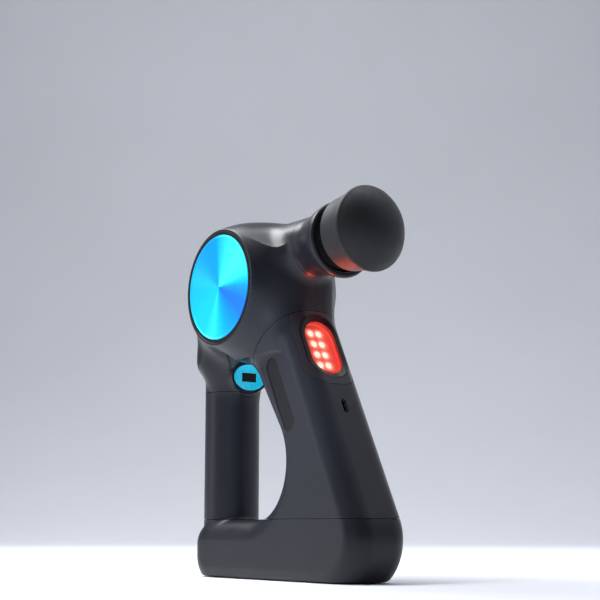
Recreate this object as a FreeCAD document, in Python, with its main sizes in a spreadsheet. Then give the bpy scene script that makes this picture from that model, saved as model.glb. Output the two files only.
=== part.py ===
import FreeCAD, Part, Sketcher
import math, os
from FreeCAD import Vector, Placement, Rotation, Matrix

# Percussion massage gun. Millimetres, +Z up, -Y is the working end, the left side cap faces -X.
# The row origin is the centre of the flat face that the handle stands on.
# Inner names: "hub" is the axis of the round drum, along X at (hub_y, hub_z).

doc = FreeCAD.newDocument("massage_gun")
sheet = doc.addObject("Spreadsheet::Sheet", "dims")
CELLS = [
    ("hub_y", 24.0, "hub axis from the origin along Y"),
    ("hub_z", 174.0, "hub axis above the base face"),
    ("wall", 2.4, "moulded wall"),
    ("drum_left", 36.6, "left cap plane"),
    ("drum_right", 29.5, "right cap plane"),
    ("drum_left_rad", 35.2, "drum radius at the left cap"),
    ("drum_mid_rad", 43.0, "largest drum radius"),
    ("drum_right_rad", 31.0, "drum radius at the right cap"),
    ("arm_up", 23.0, "shaft axis above the hub axis"),
    ("arm_drop", 2.0, "barrel axis below the shaft axis"),
    ("arm_rad", 17.8, "arm barrel radius"),
    ("lip_rad", 22.6, "flared lip radius"),
    ("lip_y", 76.0, "lip plane in front of the hub"),
    ("lean", 26.5, "lean of the front leg in degrees"),
    ("leg_half", 20.2, "half width of the front leg"),
    ("leg_round", 13.0, "edge radius of the front leg"),
    ("port_y", 76.8, "charging port in front of the hub"),
    ("port_z", 75.6, "charging port below the hub"),
    ("grip_y", 38.4, "rear grip axis behind the hub"),
    ("grip_rad", 17.15, "rear grip radius"),
    ("seam_z", 57.0, "top of the rear sleeve below the hub"),
    ("base_z", 139.0, "top of the base bar below the hub"),
    ("cap_rad", 32.3, "left cap disc radius"),
    ("cap_ring_rad", 34.6, "left cap ring radius"),
    ("rcap_rad", 27.6, "right cap disc radius"),
    ("rcap_ring_rad", 29.8, "right cap ring radius"),
    ("shaft_rad", 6.0, "percussion shaft radius"),
    ("shaft_fit", 0.05, "shaft radial running clearance"),
    ("tip_rad", 5.0, "shaft tip radius"),
    ("throw", 8.0, "crank throw"),
    ("motor_up", 6.0, "motor axis above the hub axis"),
    ("bell_rad", 21.5, "rotor bell radius"),
    ("stator_rad", 17.4, "stator radius"),
    ("axle_rad", 2.0, "motor axle radius"),
    ("roller_rad", 4.5, "roller radius"),
    ("pin_rad", 2.5, "crank pin radius"),
    ("slot_half", 6.4, "half width of the yoke slot"),
    ("head_rim_rad", 25.1, "soft head rim radius"),
    ("head_base_rad", 21.9, "soft head collar radius"),
    ("cell_rad", 9.1, "battery cell radius"),
    ("cell_len", 65.0, "battery cell length"),
    ("pill_half", 5.5, "half width of the side recess"),
    ("lens_half", 10.5, "half width of the light window"),
    ("bezel_half", 14.4, "half width of the window bezel"),
    ("button_gap", 0.15, "gap round a button"),
    ("power_rad", 5.4, "power button radius"),
    ("step_rad", 3.8, "speed button radius"),
    ("display_rad", 7.4, "display radius"),
    ("dish_half", 11.6, "sensor dish half width"),
    ("post_rad", 2.2, "chassis post radius"),
    ("guide_rad", 13.0, "guide tube radius"),
    ("foot_rad", 8.0, "foot pad radius"),
    ("screw_rad", 1.5, "screw shank radius"),
    ("screw_head_rad", 2.8, "screw head radius"),
    ("led_side", 2.8, "light emitter side"),
    ("strap", 2.0, "chassis plate thickness"),
]
for i, (key, value, note) in enumerate(CELLS):
    sheet.set("A%d" % (i + 1), key)
    sheet.set("B%d" % (i + 1), repr(value))
    sheet.set("C%d" % (i + 1), note)
    sheet.setAlias("B%d" % (i + 1), key)
doc.recompute()


def cell(key):
    return float(sheet.get(key))


HY, HZ = cell("hub_y"), cell("hub_z")
WALL = cell("wall")
LEAN = cell("lean")
PH = math.radians(LEAN)
# front leg frame: across X, out of the front face N, down the leg L
NV = Vector(0, -math.cos(PH), math.sin(PH))
LV = Vector(0, -math.sin(PH), -math.cos(PH))
NF = NV.y * -cell("port_y") + NV.z * -cell("port_z")


def at(x, y, z):
    return Vector(x, y + HY, z + HZ)


def leg(x, n, l):
    return at(0, 0, 0) + Vector(x, 0, 0) + NV * n + LV * l


RX = Rotation(Vector(0, 1, 0), 90)
RY = Rotation(Vector(1, 0, 0), -90)
RL = Rotation(Vector(1, 0, 0), 180 - LEAN)          # local y = N, local z = L
RP = Rotation(Vector(1, 0, 0), -90 - LEAN)          # local y = L, local z = -N
NODES = {}


def bind(obj, prop, value):
    if isinstance(value, str):
        obj.setExpression(prop, value)
    else:
        setattr(obj, prop, value)


def node(name, obj):
    obj.Label = name
    NODES[name] = obj
    return obj


COUNT = [0]


def tmp(kind, name=None):
    COUNT[0] += 1
    return doc.addObject(kind, name or "shape%03d" % COUNT[0])


def cyl(rad, length, base, rot):
    o = tmp("Part::Cylinder")
    bind(o, "Radius", rad)
    bind(o, "Height", length)
    o.Placement = Placement(base, rot)
    return o


def cylx(rad, x0, x1, y, z):
    return cyl(rad, x1 - x0, at(x0, y, z), RX)


def cyly(rad, y0, y1, x, z):
    return cyl(rad, y1 - y0, at(x, y0, z), RY)


def cylz(rad, z0, z1, x, y):
    return cyl(rad, z1 - z0, at(x, y, z0), Rotation())


def cyll(rad, l0, l1, x, n):
    return cyl(rad, l1 - l0, leg(x, n, l0), RL)


def cyln(rad, n0, n1, x, l):
    return cyl(rad, n1 - n0, leg(x, n0, l), RL.multiply(RY))


def box(x0, x1, y0, y1, z0, z1):
    o = tmp("Part::Box")
    o.Length, o.Width, o.Height = x1 - x0, y1 - y0, z1 - z0
    o.Placement = Placement(at(x0, y0, z0), Rotation())
    return o


def boxl(x0, x1, n0, n1, l0, l1):
    o = tmp("Part::Box")
    o.Length, o.Width, o.Height = x1 - x0, n1 - n0, l1 - l0
    o.Placement = Placement(leg(x0, n0, l0), RL)
    return o


def cut(a, b):
    o = tmp("Part::Cut")
    o.Base, o.Tool = a, b
    return o


def fuse(*parts):
    o = tmp("Part::MultiFuse")
    o.Shapes = list(parts)
    return o


def common(a, b):
    o = tmp("Part::Common")
    o.Base, o.Tool = a, b
    return o


def group(*parts):
    o = tmp("Part::Compound")
    o.Links = list(parts)
    return o


def feature(shape, name=None):
    o = tmp("Part::Feature", name)
    o.Shape = shape
    return o


def body(name, placement):
    b = doc.addObject("PartDesign::Body", name)
    b.Placement = placement
    return b


def sketch(b, role="XY_Plane", offset=0.0):
    s = b.newObject("Sketcher::SketchObject", b.Name + "_sketch")
    plane = [p for p in b.Origin.OriginFeatures if p.Role == role][0]
    s.AttachmentSupport = (plane, [""])
    s.MapMode = "FlatFace"
    if offset:
        s.AttachmentOffset = Placement(Vector(0, 0, offset), Rotation())
    return s


def sk_circle(s, x, y, rad):
    """circle with its centre fixed and its radius bound"""
    r0 = cell(rad.split(".")[1]) if isinstance(rad, str) and rad.startswith("dims.") and rad.count(" ") == 0 else 5.0
    g = s.addGeometry(Part.Circle(Vector(x, y, 0), Vector(0, 0, 1), r0 if isinstance(rad, str) else rad), False)
    if abs(x) < 1e-9 and abs(y) < 1e-9:
        s.addConstraint(Sketcher.Constraint("Coincident", g, 3, -1, 1))
    else:
        for kind, v in (("DistanceX", x), ("DistanceY", y)):
            s.addConstraint(Sketcher.Constraint(kind, -1, 1, g, 3, v))
    c = s.addConstraint(Sketcher.Constraint("Radius", g, r0 if isinstance(rad, str) else rad))
    if isinstance(rad, str):
        s.setExpression("Constraints[%d]" % c, rad)
    return g


def sk_poly(s, pts):
    """closed polygon, every corner held by its two coordinates"""
    n = len(pts)
    ids = []
    for i in range(n):
        a, b = pts[i], pts[(i + 1) % n]
        ids.append(s.addGeometry(Part.LineSegment(Vector(a[0], a[1], 0), Vector(b[0], b[1], 0)), False))
    for i in range(n):
        s.addConstraint(Sketcher.Constraint("Coincident", ids[i], 2, ids[(i + 1) % n], 1))
    for i in range(n):
        for kind, v in (("DistanceX", pts[i][0]), ("DistanceY", pts[i][1])):
            if abs(v) < 1e-9:
                s.addConstraint(Sketcher.Constraint("PointOnObject", ids[i], 1, -2 if kind == "DistanceX" else -1))
            else:
                s.addConstraint(Sketcher.Constraint(kind, -1, 1, ids[i], 1, v))
    return ids


def sk_slot(s, rad, y0, y1, grow=0.0):
    """stadium along the sketch Y axis: arc centres at y0 and y1, radius bound"""
    r0 = cell(rad.split(".")[1].split(" ")[0]) + grow if isinstance(rad, str) else rad + grow
    z = Vector(0, 0, 1)
    a = s.addGeometry(Part.ArcOfCircle(Part.Circle(Vector(0, y1, 0), z, r0), 0, math.pi), False)
    b = s.addGeometry(Part.ArcOfCircle(Part.Circle(Vector(0, y0, 0), z, r0), math.pi, 2 * math.pi), False)
    l1 = s.addGeometry(Part.LineSegment(Vector(-r0, y1, 0), Vector(-r0, y0, 0)), False)
    l2 = s.addGeometry(Part.LineSegment(Vector(r0, y0, 0), Vector(r0, y1, 0)), False)
    s.addConstraint(Sketcher.Constraint("Tangent", a, 2, l1, 1))
    s.addConstraint(Sketcher.Constraint("Tangent", l1, 2, b, 1))
    s.addConstraint(Sketcher.Constraint("Tangent", b, 2, l2, 1))
    s.addConstraint(Sketcher.Constraint("Tangent", l2, 2, a, 1))
    s.addConstraint(Sketcher.Constraint("PointOnObject", a, 3, -2))
    s.addConstraint(Sketcher.Constraint("PointOnObject", b, 3, -2))
    s.addConstraint(Sketcher.Constraint("DistanceY", -1, 1, a, 3, y1))
    s.addConstraint(Sketcher.Constraint("DistanceY", -1, 1, b, 3, y0))
    c = s.addConstraint(Sketcher.Constraint("Radius", a, r0))
    if isinstance(rad, str):
        s.setExpression("Constraints[%d]" % c, rad + (" + %g" % grow if grow else ""))


def pad(b, s, length, reverse=False):
    p = b.newObject("PartDesign::Pad", b.Name + "_pad")
    p.Profile = s
    bind(p, "Length", length)
    p.Reversed = reverse
    return p


def pocket(b, s, length, through=False, reverse=False):
    p = b.newObject("PartDesign::Pocket", b.Name + "_pocket")
    p.Profile = s
    if through:
        p.Type = 1
        p.Midplane = True
    else:
        bind(p, "Length", length)
    p.Reversed = reverse
    return p


# ---------------------------------------------------------------- outer forms
def arc3(a, b, c):
    return Part.Arc(Vector(*a), Vector(*b), Vector(*c)).toShape()


def seg(a, b):
    return Part.LineSegment(Vector(*a), Vector(*b)).toShape()


def circle3(a, b, c):
    ax, ay, bx, by, cx, cy = a[0], a[1], b[0], b[1], c[0], c[1]
    d = 2 * (ax * (by - cy) + bx * (cy - ay) + cx * (ay - by))
    ux = ((ax * ax + ay * ay) * (by - cy) + (bx * bx + by * by) * (cy - ay) + (cx * cx + cy * cy) * (ay - by)) / d
    uy = ((ax * ax + ay * ay) * (cx - bx) + (bx * bx + by * by) * (ax - cx) + (cx * cx + cy * cy) * (bx - ax)) / d
    return ux, uy, math.hypot(ax - ux, ay - uy)


def drum_form(off, left_in, right_in):
    """round drum turned about the hub axis; its side is one arc from cap to cap"""
    xl, xr = -cell("drum_left"), cell("drum_right")
    cx, cr, rc = circle3((xl, cell("drum_left_rad")), (-4.0, cell("drum_mid_rad")), (xr, cell("drum_right_rad")))
    rc -= off
    xl += left_in
    xr -= right_in

    def rad(x):
        return cr + math.sqrt(rc * rc - (x - cx) ** 2)
    xm = 0.5 * (xl + xr)
    p = [(xl, 0, 0), (xl, 0, rad(xl)), (xm, 0, rad(xm)), (xr, 0, rad(xr)), (xr, 0, 0)]
    w = Part.Wire([seg(p[0], p[1]), arc3(p[1], p[2], p[3]), seg(p[3], p[4]), seg(p[4], p[0])])
    s = Part.Face(w).revolve(Vector(0, 0, 0), Vector(1, 0, 0), 360)
    s.translate(at(0, 0, 0))
    return s


def arm_form(off, mouth):
    """barrel of the arm, flared at the lip, closed by a dome inside the drum"""
    ra, rl, yl = cell("arm_rad") - off, cell("lip_rad") - off, cell("lip_y")
    e = 0.0 if mouth else off
    p = [(0, 20 - off, 0), (0, 20 - off, 11.0), (0, 8.0 - off * 0.5, ra - 2.2), (0, -8.0, ra), (0, -60.0, ra)]
    q = [(0, -69.5, ra + 0.42 * (rl - ra)), (0, -yl + 0.8 if not mouth else -yl - 1.0, rl - (0.5 if not mouth else 0.0))]
    edges = [seg(p[0], p[1]), arc3(p[1], p[2], p[3]), seg(p[3], p[4]), arc3(p[4], q[0], q[1])]
    if mouth:
        end = (0, -yl - 1.0, 0)
    else:
        edges.append(arc3(q[1], (0, -yl + 0.2, rl - 0.1), (0, -yl, rl - 0.9)))
        edges.append(seg((0, -yl, rl - 0.9), (0, -yl, 0)))
        end = (0, -yl, 0)
    if mouth:
        edges.append(seg(q[1], end))
    edges.append(seg(end, p[0]))
    s = Part.Face(Part.Wire(edges)).revolve(Vector(0, 0, 0), Vector(0, 1, 0), 360)
    s.translate(at(0, 0, cell("arm_up") - cell("arm_drop")))
    return s


def throat_form(off):
    """upright block between the arm and the front leg, its front edges rounded"""
    hw = cell("leg_half") - off
    s = Part.makeBox(2 * hw, 43.2 - off, 56.0, at(-hw, -48.2 + off, -40.0))
    edges = [e for e in s.Edges if abs(e.Vertexes[0].Z - e.Vertexes[1].Z) > 10 and e.CenterOfMass.y < HY - 20]
    return s.makeFillet(14.0 - off, edges)


def shoulder_form(off):
    """swelling behind the drum that runs down into the rear grip"""
    el = Part.Ellipse(Vector(0, 0, 44.0 - off), Vector(25.3 - off, 0, 0), Vector(0, 0, 0))
    e = el.toShape(0, 2 * math.pi)
    f = Part.Face(Part.Wire([e]))
    half = Part.makeBox(60, 2, 120, Vector(0, -1, -60))
    f = f.common(half)
    s = f.Faces[0].revolve(Vector(0, 0, 0), Vector(0, 0, 1), 360)
    s.translate(at(0, 30.0, -14.0))
    return s


def column_form(off):
    """wide foot of the shoulder: an oval column that draws in to the grip"""
    a, b = 25.6 - off, 17.8 - off
    whole = None
    for h in (52.0 - off, -17.0 + off):
        maj, mnr = Vector(b, 0, 0), Vector(0, 0, abs(h))
        if abs(h) > b:
            maj, mnr = mnr, maj
        face = Part.Face(Part.Wire([Part.Ellipse(maj, mnr, Vector(0, 0, 0)).toShape(0, 2 * math.pi)]))
        face = face.common(Part.makeBox(60, 2, 60, Vector(0, -1, 0 if h > 0 else -60))).Faces[0]
        for q in range(4):
            f = face.copy()
            f.rotate(Vector(0, 0, 0), Vector(0, 0, 1), 90.0 * q)
            part = f.revolve(Vector(0, 0, 0), Vector(0, 0, 1), 90)
            whole = part if whole is None else whole.fuse(part)
    m = Matrix()
    m.scale(a / b, 1.0, 1.0)
    whole = whole.transformGeometry(m)
    whole.translate(at(0, 37.6, -40.0))
    return Part.Solid(Part.Shell([f for f in outer_faces(whole)]))


def outer_faces(shape):
    """faces of a fused set of sectors, without the walls between them"""
    s = shape.Solids
    one = s[0]
    for q in s[1:]:
        one = one.fuse(q)
    return one.removeSplitter().Solids[0].Shells[0].Faces


def grip_form(off):
    return Part.makeCylinder(cell("grip_rad") - off, 130.0, at(0, cell("grip_y"), -150.0))


def line_meet(a, b):
    """meeting point of two lines given as (ny, nz, d) with ny*y + nz*z = d"""
    det = a[0] * b[1] - a[1] * b[0]
    return ((a[2] * b[1] - a[1] * b[2]) / det, (a[0] * b[2] - a[2] * b[0]) / det)


def leg_form(off, rnd=True):
    """front leg and base bar: one side outline, pulled across X, its long edges rounded"""
    a34 = math.radians(34.0)
    front = (NV.y, NV.z, NF - off)
    bottom = (0.0, -1.0, HZ + 6.0 - off)
    back = (1.0, 0.0, 55.5 - off)
    step = (0.0, 1.0, -cell("base_z") - off)
    wn = (math.cos(a34), -math.sin(a34))
    slant = (wn[0], wn[1], wn[0] * -12.5 + wn[1] * -56.4 - off)
    top = (0.0, 1.0, 5.0 - off)
    rear = (1.0, 0.0, 4.0 - off)
    pts = [line_meet(front, top), line_meet(front, bottom), line_meet(bottom, back), line_meet(back, step),
           line_meet(step, slant), line_meet(slant, rear), line_meet(rear, top)]
    rads = [0, 30.0 - off, 19.0 - off, 15.0 - off, 33.0 + off, 0, 0]
    n = len(pts)
    edges, start = [], None
    ins, outs = [], []
    for i in range(n):
        p, a, b = pts[i], pts[i - 1], pts[(i + 1) % n]
        if rads[i] == 0:
            ins.append(p)
            outs.append(p)
            continue
        ua = (a[0] - p[0], a[1] - p[1])
        ub = (b[0] - p[0], b[1] - p[1])
        la, lb = math.hypot(*ua), math.hypot(*ub)
        ua, ub = (ua[0] / la, ua[1] / la), (ub[0] / lb, ub[1] / lb)
        ang = math.acos(max(-1, min(1, ua[0] * ub[0] + ua[1] * ub[1])))
        t = rads[i] / math.tan(ang / 2)
        ins.append((p[0] + ua[0] * t, p[1] + ua[1] * t))
        outs.append((p[0] + ub[0] * t, p[1] + ub[1] * t))
        bis = (ua[0] + ub[0], ua[1] + ub[1])
        lb2 = math.hypot(*bis)
        c = (p[0] + bis[0] / lb2 * rads[i] / math.sin(ang / 2), p[1] + bis[1] / lb2 * rads[i] / math.sin(ang / 2))
        m = (c[0] - bis[0] / lb2 * rads[i], c[1] - bis[1] / lb2 * rads[i])
        edges.append((i, arc3((0,) + ins[i], (0,) + m, (0,) + outs[i])))
    loop = []
    arcs = dict(edges)
    for i in range(n):
        if i in arcs:
            loop.append(arcs[i])
        loop.append(seg((0,) + outs[i], (0,) + ins[(i + 1) % n]))
    hw = cell("leg_half") - off
    f = Part.Face(Part.Wire(loop))
    s = f.extrude(Vector(2 * hw, 0, 0))
    s.translate(at(-hw, 0, 0))
    if rnd:
        keep = []
        for e in s.Edges:
            c = e.CenterOfMass
            flat = abs(abs(c.x) - hw) < 1e-6
            if not flat:
                continue
            y, z = c.y - HY, c.z - HZ
            if z > 4.5 - off - 0.6 or (y > 3.4 - off and z > -60):
                continue
            keep.append(e)
        s = s.makeFillet(cell("leg_round") - off, keep)
    return s


def skin_form(off, left_in, right_in):
    parts = [drum_form(off, left_in, right_in), arm_form(off, False), throat_form(off), shoulder_form(off),
             column_form(off), grip_form(off), leg_form(off)]
    s = parts[0]
    for p in parts[1:]:
        s = s.fuse(p)
    return s


FLOOR = Part.makeBox(200, 400, 60, Vector(-100, -200, -60 + 0.6))
FLOOR_IN = Part.makeBox(200, 400, 60, Vector(-100, -200, -60 + 5.0))
DISH_Z = -51.0
PANEL_Y = 53.2


def ellipse_prism(a, b, y0, y1, z):
    """elliptical prism along Y"""
    el = Part.Ellipse(Vector(a, 0, 0), Vector(0, b, 0), Vector(0, 0, 0)) if a > b else Part.Ellipse(Vector(0, b, 0), Vector(a, 0, 0), Vector(0, 0, 0))
    f = Part.Face(Part.Wire([el.toShape()])).extrude(Vector(0, 0, y1 - y0))
    f.rotate(Vector(0, 0, 0), Vector(1, 0, 0), -90)
    f.translate(at(0, y0, z))
    return f


def slot_prism(rad, z0, z1, y0, y1):
    """stadium prism along Y, its long axis upright, arc centres at z0 and z1"""
    s = Part.makeBox(2 * rad, y1 - y0, z1 - z0, at(-rad, y0, z0))
    for z in (z0, z1):
        s = s.fuse(Part.makeCylinder(rad, y1 - y0, at(0, y0, z), Vector(0, 1, 0)))
    return s.removeSplitter()


def leg_slot(rad, l0, l1, n0, n1, x=0.0):
    """stadium prism out of the front leg face, its long axis down the leg"""
    s = Part.makeBox(2 * rad, n1 - n0, l1 - l0, Vector(x - rad, n0, l0))
    for l in (l0, l1):
        s = s.fuse(Part.makeCylinder(rad, n1 - n0, Vector(x, n0, l), Vector(0, 1, 0)))
    s = s.removeSplitter()
    s.Placement = Placement(at(0, 0, 0), RL)
    return s


def leg_box(x0, x1, n0, n1, l0, l1):
    s = Part.makeBox(x1 - x0, n1 - n0, l1 - l0, Vector(x0, n0, l0))
    s.Placement = Placement(at(0, 0, 0), RL)
    return s


def xcyl(rad, x0, x1, y, z):
    return Part.makeCylinder(rad, x1 - x0, at(x0, y, z), Vector(1, 0, 0))


OUTER = skin_form(0.0, 0.0, 0.0).cut(FLOOR)
INNER = skin_form(WALL, 4.8, 2.8).cut(FLOOR_IN)
SHELL = OUTER.cut(INNER).cut(arm_form(WALL + 0.2, True))
# boss for the finger sensor on the rear grip, and the seat of the control panel behind it
BOSS = ellipse_prism(12.4, 8.9, 19.4, 30.0, DISH_Z)
BOSS_IN = ellipse_prism(10.6, 7.1, 22.0, 40.0, DISH_Z)
GRIP_IN = Part.makeCylinder(cell("grip_rad") - WALL, 90, at(0, cell("grip_y"), -110.0))
SEAT = slot_prism(11.4, -39.0, -5.0, 48.8, 60.0).common(OUTER)
SHELL = SHELL.fuse(BOSS.cut(GRIP_IN)).fuse(SEAT)
SHELL = SHELL.cut(BOSS_IN).cut(ellipse_prism(11.7, 8.2, 10.0, 22.0, DISH_Z))
SHELL = SHELL.cut(slot_prism(9.1, -39.0, -5.0, 51.2, 62.0)).cut(slot_prism(7.6, -39.0, -5.0, 40.0, 52.0))
# seats of the side caps
SHELL = SHELL.cut(xcyl(cell("cap_ring_rad") + 0.1, -45.0, -34.6, 0, 0))
SHELL = SHELL.cut(xcyl(cell("rcap_ring_rad") + 0.1, 28.2, 45.0, 0, 0))

# where the moulded pieces meet
R_BASE = Part.makeBox(120, 300, 60, at(-60, -200, -139.0 - 60.0))
R_SLEEVE = Part.makeBox(60, 42, 79.0, at(-30, 19.0, -139.0))
poly = [(-140, -139), (-140, -20.5), (-47.0, -20.5), (-42.3, -23.5), (-32.8, -30.0), (-27.3, -34.2), (-17.3, -43.7), (-14.2, -46.5),
        (-12.9, -49.5), (-12.9, -60), (5, -100), (18.9, -139)]
w = Part.makePolygon([at(-20.4, y, z) for y, z in poly + poly[:1]])
R_FRONT = Part.Face(w).extrude(Vector(40.8, 0, 0))
arch = Part.makeCylinder(46.8, 60.0, at(0, -104.0, -64.3), Vector(0, 1, 0)).common(Part.makeBox(40.8, 60, 30, at(-20.4, -104.0, -42.0)))
R_FRONT = R_FRONT.fuse(arch)
R_FRONT = R_FRONT.cut(R_BASE)
R_NOSE = Part.makeBox(80, 40, 60, at(-40, -92.0, -6.0))
BOSS_ZONE = ellipse_prism(12.5, 9.0, 10.0, 32.0, DISH_Z)

sleeve = SHELL.common(R_SLEEVE).cut(BOSS_ZONE)
base = SHELL.common(R_BASE)
front = SHELL.common(R_FRONT)
upper = SHELL.cut(R_BASE).cut(R_SLEEVE.cut(BOSS_ZONE)).cut(R_FRONT)
nose = upper.common(R_NOSE)
upper = upper.cut(R_NOSE)
LEFT = Part.makeBox(100, 400, 400, at(-100, -200, -200))
up_left = upper.common(LEFT)
up_right = upper.cut(LEFT)
for nm, sh in (("sleeve", sleeve), ("base", base), ("front", front), ("nose", nose), ("left", up_left), ("right", up_right)):
    print(nm, sh.isValid(), [round(q.Volume) for q in sh.Solids])

# screws and bosses that join the two housing halves, and the rubber mounted chassis points
JOIN = [(24.0, -14.0), (-24.0, -14.0), (0.0, -27.5)]
SOFT = [(16.0, -22.0), (-16.0, -22.0), (20.0, 19.0), (-20.0, 3.0)]
POSTS = [(22.0, -7.0), (-22.0, -7.0), (0.0, -20.0), (23.5, 13.0)]
for y, z in JOIN:
    up_left = up_left.fuse(xcyl(4.0, -32.5, 0.0, y, z)).cut(xcyl(cell("screw_rad"), -14.0, 1.0, y, z))
    up_right = up_right.fuse(xcyl(4.0, 0.0, 27.5, y, z)).cut(xcyl(1.7, -1.0, 30.0, y, z))
    up_right = up_right.cut(xcyl(3.0, 26.0, 30.0, y, z))
for y, z in SOFT:
    up_left = up_left.fuse(xcyl(4.0, -32.5, -14.5, y, z)).cut(xcyl(cell("screw_rad"), -26.0, -14.0, y, z))

# front grip cover: light panel insert, side recesses and charging slot
PANEL = leg_box(-17.4, 17.4, 25.0, 45.0, 0.0, 74.4)
PANEL = PANEL.fuse(leg_box(-4.4, 4.4, 25.0, 45.0, 60.0, 87.4))
for x in (-4.4, 4.4):
    c = Part.makeCylinder(13.0, 20.0, Vector(x, 25.0, 74.4), Vector(0, 1, 0))
    c.Placement = Placement(at(0, 0, 0), RL)
    PANEL = PANEL.fuse(c)
W0, W1 = 39.8 + 14.5, 83.3 - 14.5
window = leg_slot(cell("bezel_half") + 0.1, W0, W1, 15.0, 50.0)
light_panel = front.common(PANEL).cut(window)
front = front.cut(PANEL).cut(window)
PILL_N, P0, P1 = 7.3, 60.4, 97.4


def pill(side, x0, x1, rad):
    s = Part.makeBox(x1 - x0, 2 * rad, P1 - P0, Vector(x0, PILL_N - rad, P0))
    for l in (P0, P1):
        s = s.fuse(Part.makeCylinder(rad, x1 - x0, Vector(x0, PILL_N, l), Vector(1, 0, 0)))
    s = s.removeSplitter()
    s.Placement = Placement(at(0, 0, 0), RL)
    if side < 0:
        s = s.mirror(Vector(0, 0, 0), Vector(1, 0, 0))
    return s


for side in (-1, 1):
    front = front.cut(pill(side, 19.2, 25.0, cell("pill_half")))
PORT_L = LV.y * -cell("port_y") + LV.z * -cell("port_z")
front = front.cut(leg_slot(1.7, PORT_L - 2.85, PORT_L + 2.85, 15.0, 50.0))

PAD_SEAT = Part.makeBox(30.2, 110.0, 3.8, Vector(-15.1, -55.0, -1.0))
for y in (-55.0, 55.0):
    PAD_SEAT = PAD_SEAT.fuse(Part.makeCylinder(15.1, 3.8, Vector(0, y, -1.0)))
for nm, sh in (("housing_left", up_left), ("housing_right", up_right), ("nose_collar", nose),
               ("front_grip_cover", front), ("light_panel", light_panel), ("rear_grip_sleeve", sleeve),
               ("base_cover", base.cut(PAD_SEAT))):
    node(nm, feature(sh, nm))

# window over the light: dark bezel and red lens follow the face of the leg
F_SKIN = leg_form(0.15).cut(leg_form(3.0))
bezel = F_SKIN.common(leg_slot(cell("bezel_half"), W0, W1, 20.0, 45.0)).cut(leg_slot(cell("lens_half") + 0.05, W0, W1, 10.0, 50.0))
node("light_bezel", feature(bezel, "light_bezel"))
lens = leg_form(0.7).cut(leg_form(2.3)).common(leg_slot(cell("lens_half"), W0, W1, 20.0, 45.0))
node("light_lens", feature(lens, "light_lens"))
reflector = leg_slot(12.4, W0, W1, 27.0, 30.5).cut(leg_slot(11.05, W0, W1, 20.0, 40.0))
node("light_reflector", feature(reflector, "light_reflector"))
board = body("light_board", Placement(leg(0, 29.3, 0), RP))
sk = sketch(board)
sk_slot(sk, 11.0, W0, W1)
pad(board, sk, 1.6)
node("light_board", board)
leds = []
for x in (-2.9, 2.9):
    for l in (49.6, 56.9, 64.2, 71.5):
        o = tmp("Part::Box")
        bind(o, "Length", "dims.led_side")
        bind(o, "Height", "dims.led_side")
        o.Width = 1.4
        o.Placement = Placement(leg(x - cell("led_side") / 2, 29.3, l - cell("led_side") / 2), RL)
        leds.append(o)
node("light_emitters", group(*leds))

node("side_inserts", group(*[feature(pill(side, 19.2, 19.8, cell("pill_half") - 0.1)) for side in (-1, 1)]))

# charging socket
PL = Placement(leg(0, 34.2, PORT_L), RP)
shell = body("port_shell", PL)
sk = sketch(shell)
sk_slot(sk, 1.6, -2.85, 2.85)
pad(shell, sk, 7.4)
doc.recompute()
sk = shell.newObject("Sketcher::SketchObject", "port_shell_bore")
sk.AttachmentSupport = ([p for p in shell.Origin.OriginFeatures if p.Role == "XY_Plane"][0], [""])
sk.MapMode = "FlatFace"
sk_slot(sk, 1.3, -2.85, 2.85)
pk = pocket(shell, sk, 6.6, reverse=True)
tongue = boxl(-0.35, 0.35, 27.6, 32.8, PORT_L - 3.2, PORT_L + 3.2)
node("charge_socket", group(shell, tongue))
node("charge_board", boxl(1.7, 2.9, 19.5, 32.2, 91.0, 106.2))

# side caps: turned discs in black rings
def cap(name, rad, ring, x_in, x_rim, x_mid, sign):
    b = body(name, Placement(at(0, 0, 0), Rotation()))
    s = sketch(b, "XZ_Plane")
    sk_poly(s, [(sign * x_in, 0), (sign * x_in, rad), (sign * (x_rim - 0.3), rad), (sign * x_rim, rad - 0.4), (sign * x_rim, rad - 1.1), (sign * x_mid, 0)])
    r = b.newObject("PartDesign::Revolution", name + "_turn")
    r.Profile = s
    r.ReferenceAxis = (s, ["H_Axis"])
    r.Angle = 360
    node(name, b)
    b2 = body(ring[0], Placement(at(0, 0, 0), Rotation()))
    s = sketch(b2, "XZ_Plane")
    sk_poly(s, [(sign * x_in, rad + 0.1), (sign * x_in, ring[1]), (sign * (x_rim - 0.5), ring[1]), (sign * (x_rim - 0.1), ring[1] - 0.4), (sign * (x_rim - 0.1), rad + 0.1)])
    r = b2.newObject("PartDesign::Revolution", ring[0] + "_turn")
    r.Profile = s
    r.ReferenceAxis = (s, ["H_Axis"])
    r.Angle = 360
    node(ring[0], b2)


cap("cap_disc_left", cell("cap_rad"), ("cap_ring_left", cell("cap_ring_rad")), 34.6, 37.0, 36.5, -1)
cap("cap_disc_right", cell("rcap_rad"), ("cap_ring_right", cell("rcap_ring_rad")), 28.2, 29.9, 29.6, 1)

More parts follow.
